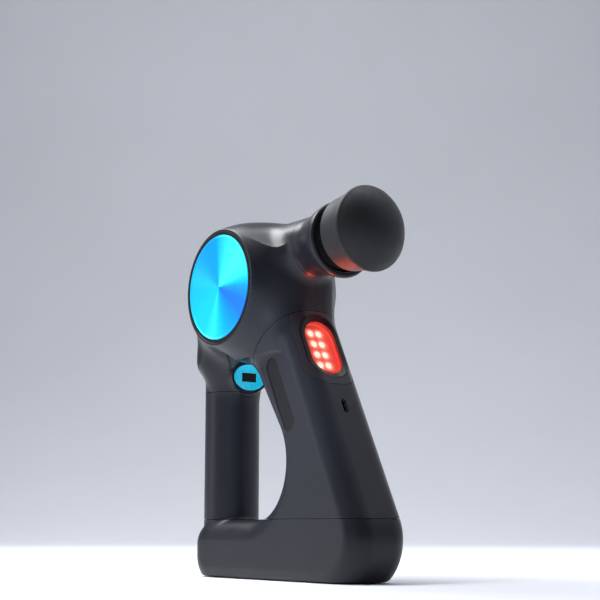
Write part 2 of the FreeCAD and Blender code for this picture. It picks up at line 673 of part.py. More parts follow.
# finger sensor on the rear grip
dish = ellipse_prism(cell("dish_half"), 8.1, 18.9, 21.95, DISH_Z)
ball = Part.makeSphere(45.0)
ball.translate(at(0, 18.9 + 1.1 - 45.0, DISH_Z))
dish = dish.cut(ball).cut(Part.makeBox(10.7, 2.6, 5.6, at(-5.35, 18.0, DISH_Z - 2.8)))
dish = dish.cut(Part.makeBox(8.0, 4.0, 4.0, at(-4.0, 18.0, DISH_Z - 2.0)))
node("sensor_dish", feature(dish, "sensor_dish"))
node("sensor_window", box(-5.25, 5.25, 19.65, 20.6, DISH_Z - 2.7, DISH_Z + 2.7))
optics = (box(-3.4, -0.6, 20.7, 22.0, DISH_Z - 1.5, DISH_Z + 1.5), box(0.8, 3.2, 20.7, 22.0, DISH_Z - 1.2, DISH_Z + 1.2))
node("sensor_board", group(box(-8.0, 8.0, 22.0, 23.2, DISH_Z - 4.0, DISH_Z + 4.0), *optics))

# control panel at the back: plate, display, three buttons with their board
panel = body("control_panel", Placement(at(0, PANEL_Y, 0), Rotation(Vector(1, 0, 0), 90)))
sk = sketch(panel)
sk_slot(sk, 9.0, -39.0, -5.0)
sk_circle(sk, 0, -5.5, "dims.display_rad")
sk_circle(sk, 0, -21.5, "dims.power_rad")
sk_circle(sk, 0, -32.4, "dims.step_rad")
sk_circle(sk, 0, -41.8, "dims.step_rad")
pad(panel, sk, 2.0)
node("control_panel", panel)
node("display_glass", cyly("dims.display_rad - 0.05", 52.2, 53.4, 0, -5.5))
node("display_module", cyly("dims.display_rad - 0.8", 50.2, 52.2, 0, -5.5))


def button(name, rad, z, proud):
    b = body(name, Placement(at(0, 50.1, z), Rotation(Vector(1, 0, 0), -90)))
    s = sketch(b)
    sk_circle(s, 0, 0, rad + 0.75)
    pad(b, s, 0.9)
    doc.recompute()
    s = b.newObject("Sketcher::SketchObject", name + "_cap_sketch")
    s.AttachmentSupport = ([p for p in b.Origin.OriginFeatures if p.Role == "XY_Plane"][0], [""])
    s.MapMode = "FlatFace"
    sk_circle(s, 0, 0, rad - cell("button_gap"))
    p = b.newObject("PartDesign::Pad", name + "_cap")
    p.Profile = s
    p.Length = PANEL_Y + proud - 50.1
    doc.recompute()
    top = [i + 1 for i, e in enumerate(p.Shape.Edges) if abs(e.CenterOfMass.z - p.Shape.BoundBox.ZMax) < 1e-3 and e.Length > 5]
    f = b.newObject("PartDesign::Fillet", name + "_round")
    f.Base = (p, ["Edge%d" % top[0]])
    f.Radius = 0.6
    node(name, b)


button("power_button", cell("power_rad"), -21.5, 1.2)
button("speed_up_button", cell("step_rad"), -32.4, 1.0)
button("speed_down_button", cell("step_rad"), -41.8, 1.0)
node("button_board", group(box(-6.0, 6.0, 46.4, 47.6, -45.5, -16.5), *[cyly(2.0, 47.6, 48.8, 0, z) for z in (-21.5, -32.4, -41.8)]))

# percussion drive: shaft in two bushings in a guide tube
SU = cell("arm_up")
shaft = fuse(cyly("dims.shaft_rad", -80.5, -15.0, 0, SU), cyly("dims.tip_rad", -97.0, -80.5, 0, SU))
node("percussion_shaft", shaft)
guide = fuse(cyly("dims.guide_rad", -70.5, -24.0, 0, SU), cyly(13.0, -27.0, -24.0, 0, SU), box(-12.0, 24.4, -27.0, -24.0, 2.0, 14.0))
guide = cut(guide, fuse(cyly(9.0, -72.0, -45.0, 0, SU), cyly(10.5, -45.5, -20.0, 0, SU)))
node("guide_tube", guide)
bush_front = cut(cyly(9.0, -70.3, -62.3, 0, SU), cyly("dims.shaft_rad + dims.shaft_fit", -71.0, -62.0, 0, SU))
bush_rear = cut(cyly(9.0, -53.5, -45.5, 0, SU), cyly("dims.shaft_rad + dims.shaft_fit", -54.0, -45.0, 0, SU))
node("shaft_bushings", group(bush_front, bush_rear))
node("nose_seal", cut(cyly(16.9, -72.4, -70.5, 0, SU - 2.0), cyly("dims.shaft_rad + 0.5", -73.0, -70.0, 0, SU)))

MU = cell("motor_up")
TH = cell("throw")
yoke = body("yoke", Placement(at(-3.2, 0, 0), Rotation(Vector(0, 0, 1), Vector(0, 0, 0), Vector(1, 0, 0), "ZXY")))
yoke.Placement = Placement(Matrix(0, 0, 1, at(-3.2, 0, 0).x, 1, 0, 0, at(0, 0, 0).y, 0, 1, 0, at(0, 0, 0).z, 0, 0, 0, 1))
sk = sketch(yoke)
sk_poly(sk, [(18.8, -11.5), (18.8, 28.8), (-27.0, 28.8), (-27.0, 17.2), (-2.8, 17.2), (-2.8, -11.5)])
pad(yoke, sk, 7.0)
doc.recompute()
sk = yoke.newObject("Sketcher::SketchObject", "yoke_slot")
sk.AttachmentSupport = ([p for p in yoke.Origin.OriginFeatures if p.Role == "XY_Plane"][0], [""])
sk.MapMode = "FlatFace"
z = Vector(0, 0, 1)
sh = cell("slot_half")
zlo, zhi = MU - TH - cell("roller_rad") - 1.0, MU + TH + cell("roller_rad") + 1.0
sk_poly(sk, [(TH - sh, zlo), (TH + sh, zlo), (TH + sh, zhi), (TH - sh, zhi)])
pk = yoke.newObject("PartDesign::Pocket", "yoke_window")
pk.Profile = sk
pk.Length = 7.0
pk.Reversed = True
doc.recompute()
yoke_full = cut(fuse(yoke, cyly(8.0, -27.0, -15.0, 0, SU)), cyly("dims.shaft_rad", -30.0, -15.0, 0, SU))
node("shaft_yoke", yoke_full)

node("crank_disc", cut(cylx(13.0, 5.0, 8.6, 0, MU), cylx("dims.pin_rad", 4.0, 9.0, TH, MU)))
node("crank_pin", fuse(cylx("dims.pin_rad", -3.6, 8.6, TH, MU), cylx(3.4, -4.8, -3.6, TH, MU)))
node("crank_roller", cut(cylx("dims.roller_rad", -3.2, 3.9, TH, MU), cylx("dims.pin_rad + 0.05", -4.0, 5.0, TH, MU)))

# outrunner motor: bell and magnets turn round the fixed stator
PM = Placement(at(0, 0, MU), RX)
bell = body("rotor_bell", Placement(at(8.6, 0, MU), RX))
sk = sketch(bell)
sk_circle(sk, 0, 0, "dims.bell_rad")
sk_circle(sk, 0, 0, "dims.axle_rad")
pad(bell, sk, 14.8)
doc.recompute()
sk = bell.newObject("Sketcher::SketchObject", "bell_hollow")
sk.AttachmentSupport = ([p for p in bell.Origin.OriginFeatures if p.Role == "XY_Plane"][0], [""])
sk.MapMode = "FlatFace"
sk.AttachmentOffset = Placement(Vector(0, 0, 1.4), Rotation())
sk_circle(sk, 0, 0, "dims.bell_rad - 1.2")
pk = bell.newObject("PartDesign::Pocket", "bell_cavity")
pk.Profile = sk
pk.Length = 20.0
pk.Reversed = True
doc.recompute()
sk = bell.newObject("Sketcher::SketchObject", "bell_vent")
sk.AttachmentSupport = ([p for p in bell.Origin.OriginFeatures if p.Role == "XY_Plane"][0], [""])
sk.MapMode = "FlatFace"
sk_circle(sk, 16.4, 0, 2.2)
pv = bell.newObject("PartDesign::Pocket", "bell_vent_cut")
pv.Profile = sk
pv.Length = 1.4
pv.Reversed = True
doc.recompute()
pp = bell.newObject("PartDesign::PolarPattern", "bell_vents")
pp.Originals = [pv]
pp.Axis = (sk, ["N_Axis"])
pp.Axis = ([p for p in bell.Origin.OriginFeatures if p.Role == "Z_Axis"][0], [""])
pp.Angle = 360
pp.Occurrences = 8
bell.Tip = pp
node("rotor_bell", bell)
mags = []
for i in range(14):
    m = Part.makeBox(11.5, 1.8, 6.8, Vector(11.2, 18.0, -3.4))
    m.rotate(Vector(0, 0, 0), Vector(1, 0, 0), i * 360.0 / 14)
    m.translate(at(0, 0, MU))
    mags.append(m)
node("rotor_magnets", feature(Part.makeCompound(mags), "rotor_magnets"))
node("motor_axle", cylx("dims.axle_rad", 8.6, 25.6, 0, MU))
plate = fuse(cylx(23.0, 24.4, 26.4, 0, MU), box(24.4, 26.4, -26.9, -18.0, 2.0, 11.0), cylx(5.6, 11.0, 24.4, 0, MU))
plate = cut(plate, fuse(cylx(4.5, 10.0, 24.4, 0, MU), cylx(3.0, 24.0, 27.0, 0, MU)))
node("motor_plate", plate)
node("motor_bearings", group(cut(cylx(4.5, 11.2, 13.8, 0, MU), cylx("dims.axle_rad + 0.05", 11.0, 14.0, 0, MU)),
                             cut(cylx(4.5, 21.6, 24.2, 0, MU), cylx("dims.axle_rad + 0.05", 21.0, 25.0, 0, MU))))
stator = body("motor_stator", Placement(at(12.0, 0, MU), RX))
sk = sketch(stator)
sk_circle(sk, 0, 0, "dims.stator_rad")
sk_circle(sk, 0, 0, 5.6)
pad(stator, sk, 9.6)
doc.recompute()
sk = stator.newObject("Sketcher::SketchObject", "stator_slot")
sk.AttachmentSupport = ([p for p in stator.Origin.OriginFeatures if p.Role == "XY_Plane"][0], [""])
sk.MapMode = "FlatFace"
sk_poly(sk, [(9.0, -1.2), (15.6, -2.6), (15.6, -0.6), (18.5, -0.6), (18.5, 0.6), (15.6, 0.6), (15.6, 2.6), (9.0, 1.2)])
pv = stator.newObject("PartDesign::Pocket", "stator_slot_cut")
pv.Profile = sk
pv.Length = 9.6
pv.Reversed = True
doc.recompute()
pp = stator.newObject("PartDesign::PolarPattern", "stator_slots")
pp.Originals = [pv]
pp.Axis = ([p for p in stator.Origin.OriginFeatures if p.Role == "Z_Axis"][0], [""])
pp.Angle = 360
pp.Occurrences = 12
stator.Tip = pp
node("motor_stator", stator)
coils = []
for i in range(12):
    w = Part.makePolygon([Vector(0, 9.4, -1.1), Vector(0, 15.2, -2.3), Vector(0, 15.2, 2.3), Vector(0, 9.4, 1.1), Vector(0, 9.4, -1.1)])
    m = Part.Face(w).extrude(Vector(11.4, 0, 0))
    m.translate(Vector(11.1, 0, 0))
    m.rotate(Vector(0, 0, 0), Vector(1, 0, 0), i * 30.0)
    m.translate(at(0, 0, MU))
    coils.append(m)
node("motor_windings", feature(Part.makeCompound(coils), "motor_windings"))

# chassis between the soft mounts and the motor plate
side = cylx(31.0, -12.0, -10.0, 0, 0)
side = cut(side, fuse(box(-13.0, -9.0, -40.0, -24.0, -40.0, 40.0), cylx(9.0, -13.0, -9.0, 2.0, 4.0),
                      *[cylx(4.6, -13.0, -9.0, y, z) for y, z in JOIN], *[cylx(1.7, -13.0, -9.0, y, z) for y, z in SOFT]))
node("chassis_plate", side)
node("chassis_posts", group(*[cylx("dims.post_rad", -10.0, 24.4, y, z) for y, z in POSTS]))
node("soft_mounts", group(*[cut(cylx(4.4, -14.5, -12.0, y, z), cylx(1.7, -15.0, -11.0, y, z)) for y, z in SOFT]))
node("chassis_screws", group(*[fuse(cylx("dims.screw_rad", -24.0, -10.0, y, z), cylx("dims.screw_head_rad", -10.0, -8.4, y, z)) for y, z in SOFT]))
node("housing_screws", group(*[fuse(cylx("dims.screw_rad", -12.0, 26.0, y, z), cylx("dims.screw_head_rad", 26.0, 27.6, y, z)) for y, z in JOIN]))
pcb = cut(cylx(26.0, -20.6, -19.0, 0, 0), fuse(*[cylx(4.5, -22.0, -18.0, y, z) for y, z in JOIN + SOFT]))
node("main_board", group(pcb, cylx(4.0, -30.0, -20.6, 4.0, -8.0), cylx(4.0, -30.0, -20.6, 13.5, -5.0), box(-22.4, -20.6, -8.0, 1.0, -4.0, 5.0),
                          box(-22.0, -20.6, 4.0, 13.0, 2.0, 9.0), box(-25.6, -20.6, -10.0, 4.0, 15.0, 20.0), box(-25.6, -20.6, -8.0, 6.0, -21.5, -16.5)))

# batteries: two cells in the front leg, one in the rear grip
node("battery_cells_front", group(cyll("dims.cell_rad", 109.0, 174.0, 0, 22.5), cyll("dims.cell_rad", 109.0, 174.0, 0, 4.1)))
ends = []
for l0, l1 in ((107.4, 109.0), (174.0, 175.6)):
    ends.append(fuse(cyll("dims.cell_rad", l0, l1, 0, 22.5), cyll("dims.cell_rad", l0, l1, 0, 4.1), boxl(-7.0, 7.0, 4.1, 22.5, l0, l1)))
node("battery_end_frames", group(*ends))
node("battery_cell_rear", cylz("dims.cell_rad", -133.0, -68.0, 0, 38.4))
rings = []
for z0 in (-128.0, -80.0):
    rings.append(cut(cylz("dims.grip_rad - dims.wall - 0.05", z0, z0 + 6.0, 0, 38.4), cylz("dims.cell_rad", z0 - 1, z0 + 7, 0, 38.4)))
node("rear_cell_rings", group(*rings))


def lead(rad, pts, bends):
    """round lead along straight runs joined by tangent arcs"""
    edges, last = [], pts[0]
    for i in range(1, len(pts) - 1):
        p, r = pts[i], bends[i - 1]
        a, b = (pts[i - 1] - p).normalize(), (pts[i + 1] - p).normalize()
        ang = a.getAngle(b)
        t = r / math.tan(ang / 2)
        p0, p1 = p + a * t, p + b * t
        bis = (a + b).normalize()
        m = p + bis * (r / math.sin(ang / 2) - r)
        edges.append(Part.LineSegment(last, p0).toShape())
        edges.append(Part.Arc(p0, m, p1).toShape())
        last = p1
    edges.append(Part.LineSegment(last, pts[-1]).toShape())
    w = Part.Wire(edges)
    c = Part.Wire([Part.makeCircle(rad, pts[0], pts[1] - pts[0])])
    s = w.makePipeShell([c], True, False)
    print("lead", round(w.Length, 1), "bends", bends, "volume ratio", round(s.Volume / (math.pi * rad * rad * w.Length), 4))
    return s


lead_front = feature(lead(1.1, [leg(-6.0, 6.0, 107.4), leg(-6.0, 6.0, 84.0), leg(-12.0, 10.0, 50.0), at(-15.5, -8.0, -28.0), at(-15.5, -8.0, -12.0), at(-19.0, -8.0, -12.0)], [7.0, 9.0, 6.0, 2.3]))
lead_rear = feature(lead(1.1, [at(-3.0, 38.4, -68.0), at(-3.0, 38.4, -44.0), at(-14.0, 36.0, -24.0), at(-15.5, 22.0, 3.0), at(-19.0, 22.0, 3.0)], [9.0, 9.0, 2.3]))
node("wiring", group(lead_front, lead_rear))

# foot pad under the base bar: the flat face that the handle stands on
pad_b = body("foot_pad", Placement(Vector(0, 0, 0), Rotation()))
sk = sketch(pad_b)
sk_slot(sk, 15.0, -55.0, 55.0)
pad(pad_b, sk, 2.8)
node("foot_pad", pad_b)

# push-on massage head: hard core inside a soft body
core = cut(fuse(cyly(13.0, -84.4, -82.4, 0, SU), cyly(8.5, -101.0, -82.4, 0, SU)), cyly("dims.tip_rad + 0.06", -98.0, -80.0, 0, SU))
node("head_core", cut(core, cut(cyly(6.4, -93.0, -91.6, 0, SU), cyly(5.0, -93.5, -91.0, 0, SU))))
node("head_snap_ring", cut(cyly(6.3, -92.9, -91.7, 0, SU), cyly(5.2, -93.5, -91.0, 0, SU)))


def head_form():
    """soft head: collar that widens to the rim, then a shallow dome"""
    rb, rr = cell("head_base_rad"), cell("head_rim_rad")
    ball = ((rr - 1.3) ** 2 + 12.4 ** 2) / (2 * 12.4)
    tip_c = -115.0 + ball
    half = 0.5 * math.asin((rr - 1.3) / ball)
    e = [seg((0, -81.9, 0), (0, -81.9, rb - 1.2)), arc3((0, -81.9, rb - 1.2), (0, -82.25, rb - 0.35), (0, -83.1, rb)),
         arc3((0, -83.1, rb), (0, -92.5, rb + 1.15), (0, -100.4, rr - 0.15)),
         arc3((0, -100.4, rr - 0.15), (0, -101.7, rr - 0.35), (0, -102.6, rr - 1.3)),
         arc3((0, -102.6, rr - 1.3), (0, tip_c - ball * math.cos(half), ball * math.sin(half)), (0, -115.0, 0)), seg((0, -115.0, 0), (0, -81.9, 0))]
    s = Part.Face(Part.Wire(e)).revolve(Vector(0, 0, 0), Vector(0, 1, 0), 360)
    s.translate(at(0, 0, SU))
    return s


hole = Part.makeCylinder(13.0, 4.4, at(0, -84.4, SU), Vector(0, 1, 0))
hole = hole.fuse(Part.makeCylinder(8.5, 18.6, at(0, -101.0, SU), Vector(0, 1, 0)))
node("head_body", feature(head_form().cut(hole), "head_body"))

doc.recompute()
bad = [(o.Label, o.State) for o in doc.Objects if "Invalid" in o.State or "Error" in o.State]
for nm, o in NODES.items():
    s = o.Shape
    if s.isNull() or not s.isValid() or not s.Solids:
        bad.append((nm, "shape"))
for b in bad:
    print("BAD", b)
assert not bad, bad
assert len(NODES) <= 60, len(NODES)
os.makedirs("parts", exist_ok=True)
for old in os.listdir("parts"):
    os.remove(os.path.join("parts", old))
for nm, o in NODES.items():
    o.Shape.exportStep("parts/%s.step" % nm)
    bb = o.Shape.BoundBox
    print("%-22s %d solids  vol %9.1f  x %7.2f %7.2f  y %7.2f %7.2f  z %7.2f %7.2f" % (nm, len(o.Shape.Solids), o.Shape.Volume, bb.XMin, bb.XMax, bb.YMin, bb.YMax, bb.ZMin, bb.ZMax))
print(len(NODES), "nodes")
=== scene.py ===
import bpy
import math
import numpy as np
from mathutils import Vector, Matrix


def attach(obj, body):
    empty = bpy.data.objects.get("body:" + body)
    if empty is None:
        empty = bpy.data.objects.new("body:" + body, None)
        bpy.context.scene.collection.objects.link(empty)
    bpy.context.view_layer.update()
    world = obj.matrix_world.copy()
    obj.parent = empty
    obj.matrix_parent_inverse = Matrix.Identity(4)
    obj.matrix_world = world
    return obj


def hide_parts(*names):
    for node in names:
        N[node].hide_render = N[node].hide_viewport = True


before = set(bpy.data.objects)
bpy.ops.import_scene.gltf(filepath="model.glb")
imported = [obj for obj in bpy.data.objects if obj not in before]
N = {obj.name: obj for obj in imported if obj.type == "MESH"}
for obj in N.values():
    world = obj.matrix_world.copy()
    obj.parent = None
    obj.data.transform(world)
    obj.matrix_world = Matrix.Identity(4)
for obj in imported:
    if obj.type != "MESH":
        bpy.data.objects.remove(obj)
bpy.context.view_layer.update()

# All shape code below works in millimetres about the hub: the centre of the round drum.
HUB = np.array([0.0, 24.0, 174.0])


def row(p):
    """hub millimetres to row-frame metres"""
    return (np.asarray(p, float) + HUB) / 1000.0


# ------------------------------------------------------------------ shape fields
LEAN = math.radians(26.5)
NVY, NVZ = -math.cos(LEAN), math.sin(LEAN)      # out of the front leg's face
LVY, LVZ = -math.sin(LEAN), -math.cos(LEAN)     # down the front leg
NF = NVY * -76.8 + NVZ * -75.6
PORT_L = LVY * -76.085 + LVZ * -75.956
WALL = 2.4
GAP = 0.14


def smin(a, b, k):
    h = np.clip(0.5 + 0.5 * (b - a) / k, 0, 1)
    return b * (1 - h) + a * h - k * h * (1 - h)


def rmax(a, b, r):
    a = a + r
    b = b + r
    return np.sqrt(np.maximum(a, 0) ** 2 + np.maximum(b, 0) ** 2) + np.minimum(np.maximum(a, b), 0) - r


def fillet(a, b, r, c):
    """rounded outer corner of two faces whose normals have the cosine c"""
    a1, b1 = a + r, b + r
    d = np.sqrt(np.maximum(a1 * a1 + b1 * b1 - 2 * a1 * b1 * c, 0) / (1 - c * c)) - r
    return np.where((a1 > b1 * c) & (b1 > a1 * c), d, np.maximum(a, b))


def sstep(t):
    t = np.clip(t, 0, 1)
    return t * t * (3 - 2 * t)


def circle3(a, b, c):
    ax, ay, bx, by, cx, cy = *a, *b, *c
    d = 2 * (ax * (by - cy) + bx * (cy - ay) + cx * (ay - by))
    ux = ((ax * ax + ay * ay) * (by - cy) + (bx * bx + by * by) * (cy - ay) + (cx * cx + cy * cy) * (ay - by)) / d
    uy = ((ax * ax + ay * ay) * (cx - bx) + (bx * bx + by * by) * (ax - cx) + (cx * cx + cy * cy) * (bx - ax)) / d
    return ux, uy, math.hypot(ax - ux, ay - uy)


ARM, ARM_Z = 17.8, 21.0
DRUM = circle3((-36.6, 35.2), (-4.0, 43.0), (29.5, 31.0))


def f_drum(X, Y, Z):
    r = np.sqrt(Y * Y + Z * Z)
    f = np.hypot(X - DRUM[0], r - DRUM[1]) - DRUM[2]
    f = rmax(f, -X - 36.6, 0.5)
    return rmax(f, X - 29.5, 1.2)


def f_arm(X, Y, Z):
    t = sstep((-Y - 58.0) / 17.0)
    r = np.sqrt((X * (0.89 + 0.11 * t)) ** 2 + (Z - ARM_Z) ** 2)
    f = r - (ARM + (22.6 - ARM) * t)
    q = np.sqrt((r / ARM) ** 2 + (np.maximum(Y + 8.0, 0) / 28.0) ** 2)
    f = np.where(Y > -8.0, (q - 1) * ARM, f)
    return rmax(f, -Y - 76.0, 1.7)


def f_throat(X, Y, Z):
    a = rmax(np.abs(X) - 20.2, -Y - 48.2, 14.0)
    return np.maximum(np.maximum(a, np.maximum(Z - 15.0, -40.0 - Z)), Y + 5.0)


def f_shoulder(X, Y, Z):
    q = np.sqrt((X / 25.3) ** 2 + ((Y - 30.0) / 25.3) ** 2 + ((Z + 14.0) / 44.0) ** 2)
    return (q - 1) * 25.3


def f_column(X, Y, Z):
    zr = np.where(Z > -40.0, 52.0, 17.0)
    q = np.sqrt((X / 25.6) ** 2 + ((Y - 37.3) / 17.5) ** 2 + ((Z + 40.0) / zr) ** 2)
    return (q - 1) * 17.5


def f_grip(X, Y, Z):
    return np.maximum(np.hypot(X, Y - 38.4) - 17.15, np.maximum(Z + 20.0, -160.0 - Z))


def f_legs(X, Y, Z):
    a34 = math.radians(34.0)
    slant = -((Y + 12.5) * -math.cos(a34) + (Z + 56.4) * math.sin(a34))
    # outside of the hand hole: beyond the slanted wall or below the base top
    hole = fillet(-slant, -139.0 - Z, 33.0, -math.sin(a34))
    bottom = -180.0 - Z
    a = rmax(Y - 55.4, -hole, 15.0)
    a = rmax(a, bottom, 19.0)
    front = NVY * Y + NVZ * Z - NF
    b = fillet(front, bottom, 30.0, -NVZ)
    d2 = np.maximum(np.maximum(a, b), Z - 5.0)
    d2 = np.maximum(d2, np.where(Z > -60, Y - 4.0, -99.0))
    R = 13.0
    p, q = d2 + R, np.abs(X) - 20.2 + R
    return np.sqrt(np.maximum(p, 0) ** 2 + np.maximum(q, 0) ** 2) + np.minimum(np.maximum(p, q), 0) - R


def f_body(X, Y, Z):
    f = smin(f_legs(X, Y, Z), f_throat(X, Y, Z), 4.0)
    g = smin(f_column(X, Y, Z), f_shoulder(X, Y, Z), 3.0)
    back = sstep((51.0 - Y) / 16.0)
    g = smin(f_grip(X, Y, Z), g, 0.6 + 8.4 * back)
    f = smin(f, g, 0.3 + 2.7 * back)
    f = smin(f, f_drum(X, Y, Z), 14.0)
    f = smin(f, f_arm(X, Y, Z), 8.0)
    return np.maximum(rmax(f, -173.4 - Z, 1.5), Y - 55.5)


def ellip(X, Z, a, b, z0=-51.0):
    return (np.sqrt((X / a) ** 2 + ((Z - z0) / b) ** 2) - 1) * np.minimum(a, b)


def stad(U, V, rad, v0, v1):
    return np.hypot(U, V - np.clip(V, v0, v1)) - rad


def leg_nl(Y, Z):
    return NVY * Y + NVZ * Z, LVY * Y + LVZ * Z


def cuts(*fs):
    out = fs[0]
    for f in fs[1:]:
        out = np.maximum(out, f)
    return out


def joins(*fs):
    out = fs[0]
    for f in fs[1:]:
        out = np.minimum(out, f)
    return out


POLY = [(-140, -139), (-140, -20.5), (-47.0, -20.5), (-45.4, -21.9), (-42.3, -23.5), (-37.3, -26.9), (-32.8, -30.0), (-27.3, -34.2),
        (-21.8, -39.5), (-17.3, -43.7), (-14.2, -46.5), (-12.9, -49.5), (-12.9, -60), (5, -100), (18.9, -139)]


def f_poly(Y, Z, pts):
    d = np.full(Y.shape, 1e9)
    s = np.ones(Y.shape)
    n = len(pts)
    for i in range(n):
        ay, az = pts[i]
        by, bz = pts[i - 1]
        ey, ez = by - ay, bz - az
        wy, wz = Y - ay, Z - az
        t = np.clip((wy * ey + wz * ez) / (ey * ey + ez * ez), 0, 1)
        d = np.minimum(d, (wy - ey * t) ** 2 + (wz - ez * t) ** 2)
        c1, c2, c3 = Z >= az, Z < bz, ey * wz > ez * wy
        s = np.where((c1 & c2 & c3) | (~c1 & ~c2 & ~c3), -s, s)
    return s * np.sqrt(d)


def r_base(X, Y, Z):
    return Z + 139.0


def r_boss(X, Y, Z):
    return cuts(ellip(X, Z, 13.6, 10.1), 10.0 - Y, Y - 32.0)


def r_sleeve(X, Y, Z):
    return cuts(Z + 60.0, -139.0 - Z, 19.0 - Y, -r_boss(X, Y, Z))


def r_front(X, Y, Z):
    arch = cuts(np.hypot(X, Z + 64.3) - 46.8, Y + 44.0, -104.0 - Y, -42.5 - Z)
    return cuts(joins(f_poly(Y, Z, POLY), arch), -139.0 - Z)


def r_nose(X, Y, Z):
    return cuts(Y + 52.0, -6.0 - Z)


def r_panel(X, Y, Z):
    n, l = leg_nl(Y, Z)
    side = np.abs(X) - 17.4
    low = joins(l - 74.4, cuts(np.abs(X) - 4.4, l - 87.4), np.hypot(np.abs(X) - 4.4, l - 74.4) - 13.0)
    return cuts(low, side, 25.0 - n)


W0, W1 = 39.8 + 14.5, 83.3 - 14.5


def f_skin(X, Y, Z):
    """closed wall of the handle with its seats and openings, before it is split into mouldings"""
    f = f_body(X, Y, Z)
    # clear space in front of the finger sensor
    away = np.maximum(19.4 - Y, 0)
    f = rmax(f, -cuts(ellip(X, Z, 14.0 + 1.2 * away, 10.5 + 0.9 * away), Y - 19.4, 6.0 - Y), 2.0)
    boss = cuts(ellip(X, Z, 13.4, 9.9), 19.2 - Y, Y - 30.0)
    outer = smin(f, boss, 1.6)
    cavity = cuts(f + WALL, -31.8 - X, X - 26.7, -169.0 - Z)
    s = np.maximum(outer, -cavity)
    s = joins(s, cuts(outer, stad(X, Z, 11.4, -39.0, -5.0), 48.8 - Y), cuts(boss, f_grip(X, Y, Z) * -1 - WALL))
    # seats: side caps, sensor dish, control panel, foot pad
    s = cuts(s, -cuts(np.hypot(Y, Z) - 34.75, X + 34.6), -35.3 - X)
    s = cuts(s, -cuts(np.hypot(Y, Z) - 29.95, 28.2 - X), X - 28.7)
    s = cuts(s, -cuts(ellip(X, Z, 11.75, 8.25), Y - 22.0, 8.0 - Y))
    s = cuts(s, -cuts(stad(X, Z, 9.1, -39.0, -5.0), 51.2 - Y))
    s = cuts(s, -cuts(stad(X, Z, 7.6, -39.0, -5.0), 40.0 - Y))
    s = cuts(s, -cuts(stad(X, Y + 24.0, 15.1, -55.0, 55.0), Z + 171.2))
    # bore of the barrel, flared at the mouth
    r = np.hypot(X, Z - ARM_Z) - (ARM - 2.4 + (19.3 - ARM + 2.4) * sstep((-Y - 58.0) / 17.0))
    return rmax(s, -cuts(r, Y + 20.0), 0.9)


def p_front(X, Y, Z):
    n, l = leg_nl(Y, Z)
    f = cuts(f_skin(X, Y, Z), r_front(X, Y, Z) + GAP, GAP - r_panel(X, Y, Z))
    f = cuts(f, -cuts(stad(X, l, 14.5, W0, W1), 15.0 - n))
    f = cuts(f, -cuts(stad(n - 7.3, l, 5.5, 60.4, 97.4), 19.2 - np.abs(X)))
    return cuts(f, -cuts(stad(X, l, 1.7, PORT_L - 2.85, PORT_L + 2.85), 15.0 - n))


def p_panel(X, Y, Z):
    n, l = leg_nl(Y, Z)
    f = cuts(f_skin(X, Y, Z), r_front(X, Y, Z) + GAP, r_panel(X, Y, Z) + GAP)
    return cuts(f, -cuts(stad(X, l, 14.5, W0, W1), 15.0 - n))


def p_base(X, Y, Z):
    # behind the seam line the base meets the legs, so no light passes
    lip = 2 * GAP * sstep((-f_body(X, Y, Z) - 0.7) / 0.5)
    return cuts(f_skin(X, Y, Z), r_base(X, Y, Z) + GAP - lip)


def p_sleeve(X, Y, Z):
    return cuts(f_skin(X, Y, Z), r_sleeve(X, Y, Z) + GAP)


def p_upper(X, Y, Z):
    return cuts(f_skin(X, Y, Z), GAP - r_base(X, Y, Z), GAP - r_sleeve(X, Y, Z), GAP - r_front(X, Y, Z))


def p_nose(X, Y, Z):
    return cuts(p_upper(X, Y, Z), r_nose(X, Y, Z) + GAP)


def p_left(X, Y, Z):
    return cuts(p_upper(X, Y, Z), GAP - r_nose(X, Y, Z), X + 0.09)


def p_right(X, Y, Z):
    return cuts(p_upper(X, Y, Z), GAP - r_nose(X, Y, Z), 0.09 - X)


def p_bezel(X, Y, Z):
    n, l = leg_nl(Y, Z)
    f = f_body(X, Y, Z)
    ring = stad(X, l, 14.35, W0, W1)
    bore = stad(X, l, 10.6, W0, W1)
    # the ring slopes down to the lens from a narrow flat rim
    slope = np.clip((13.9 - (stad(X, l, 0.0, W0, W1))) / 3.4, 0, 1)
    top = f + 0.12 + 1.5 * slope
    return cuts(top, -(f + 3.0), ring, -bore, 20.0 - n)


def p_lens(X, Y, Z):
    n, l = leg_nl(Y, Z)
    f = f_body(X, Y, Z)
    return cuts(f + 1.3, -(f + 2.9), stad(X, l, 10.5, W0, W1), 20.0 - n)


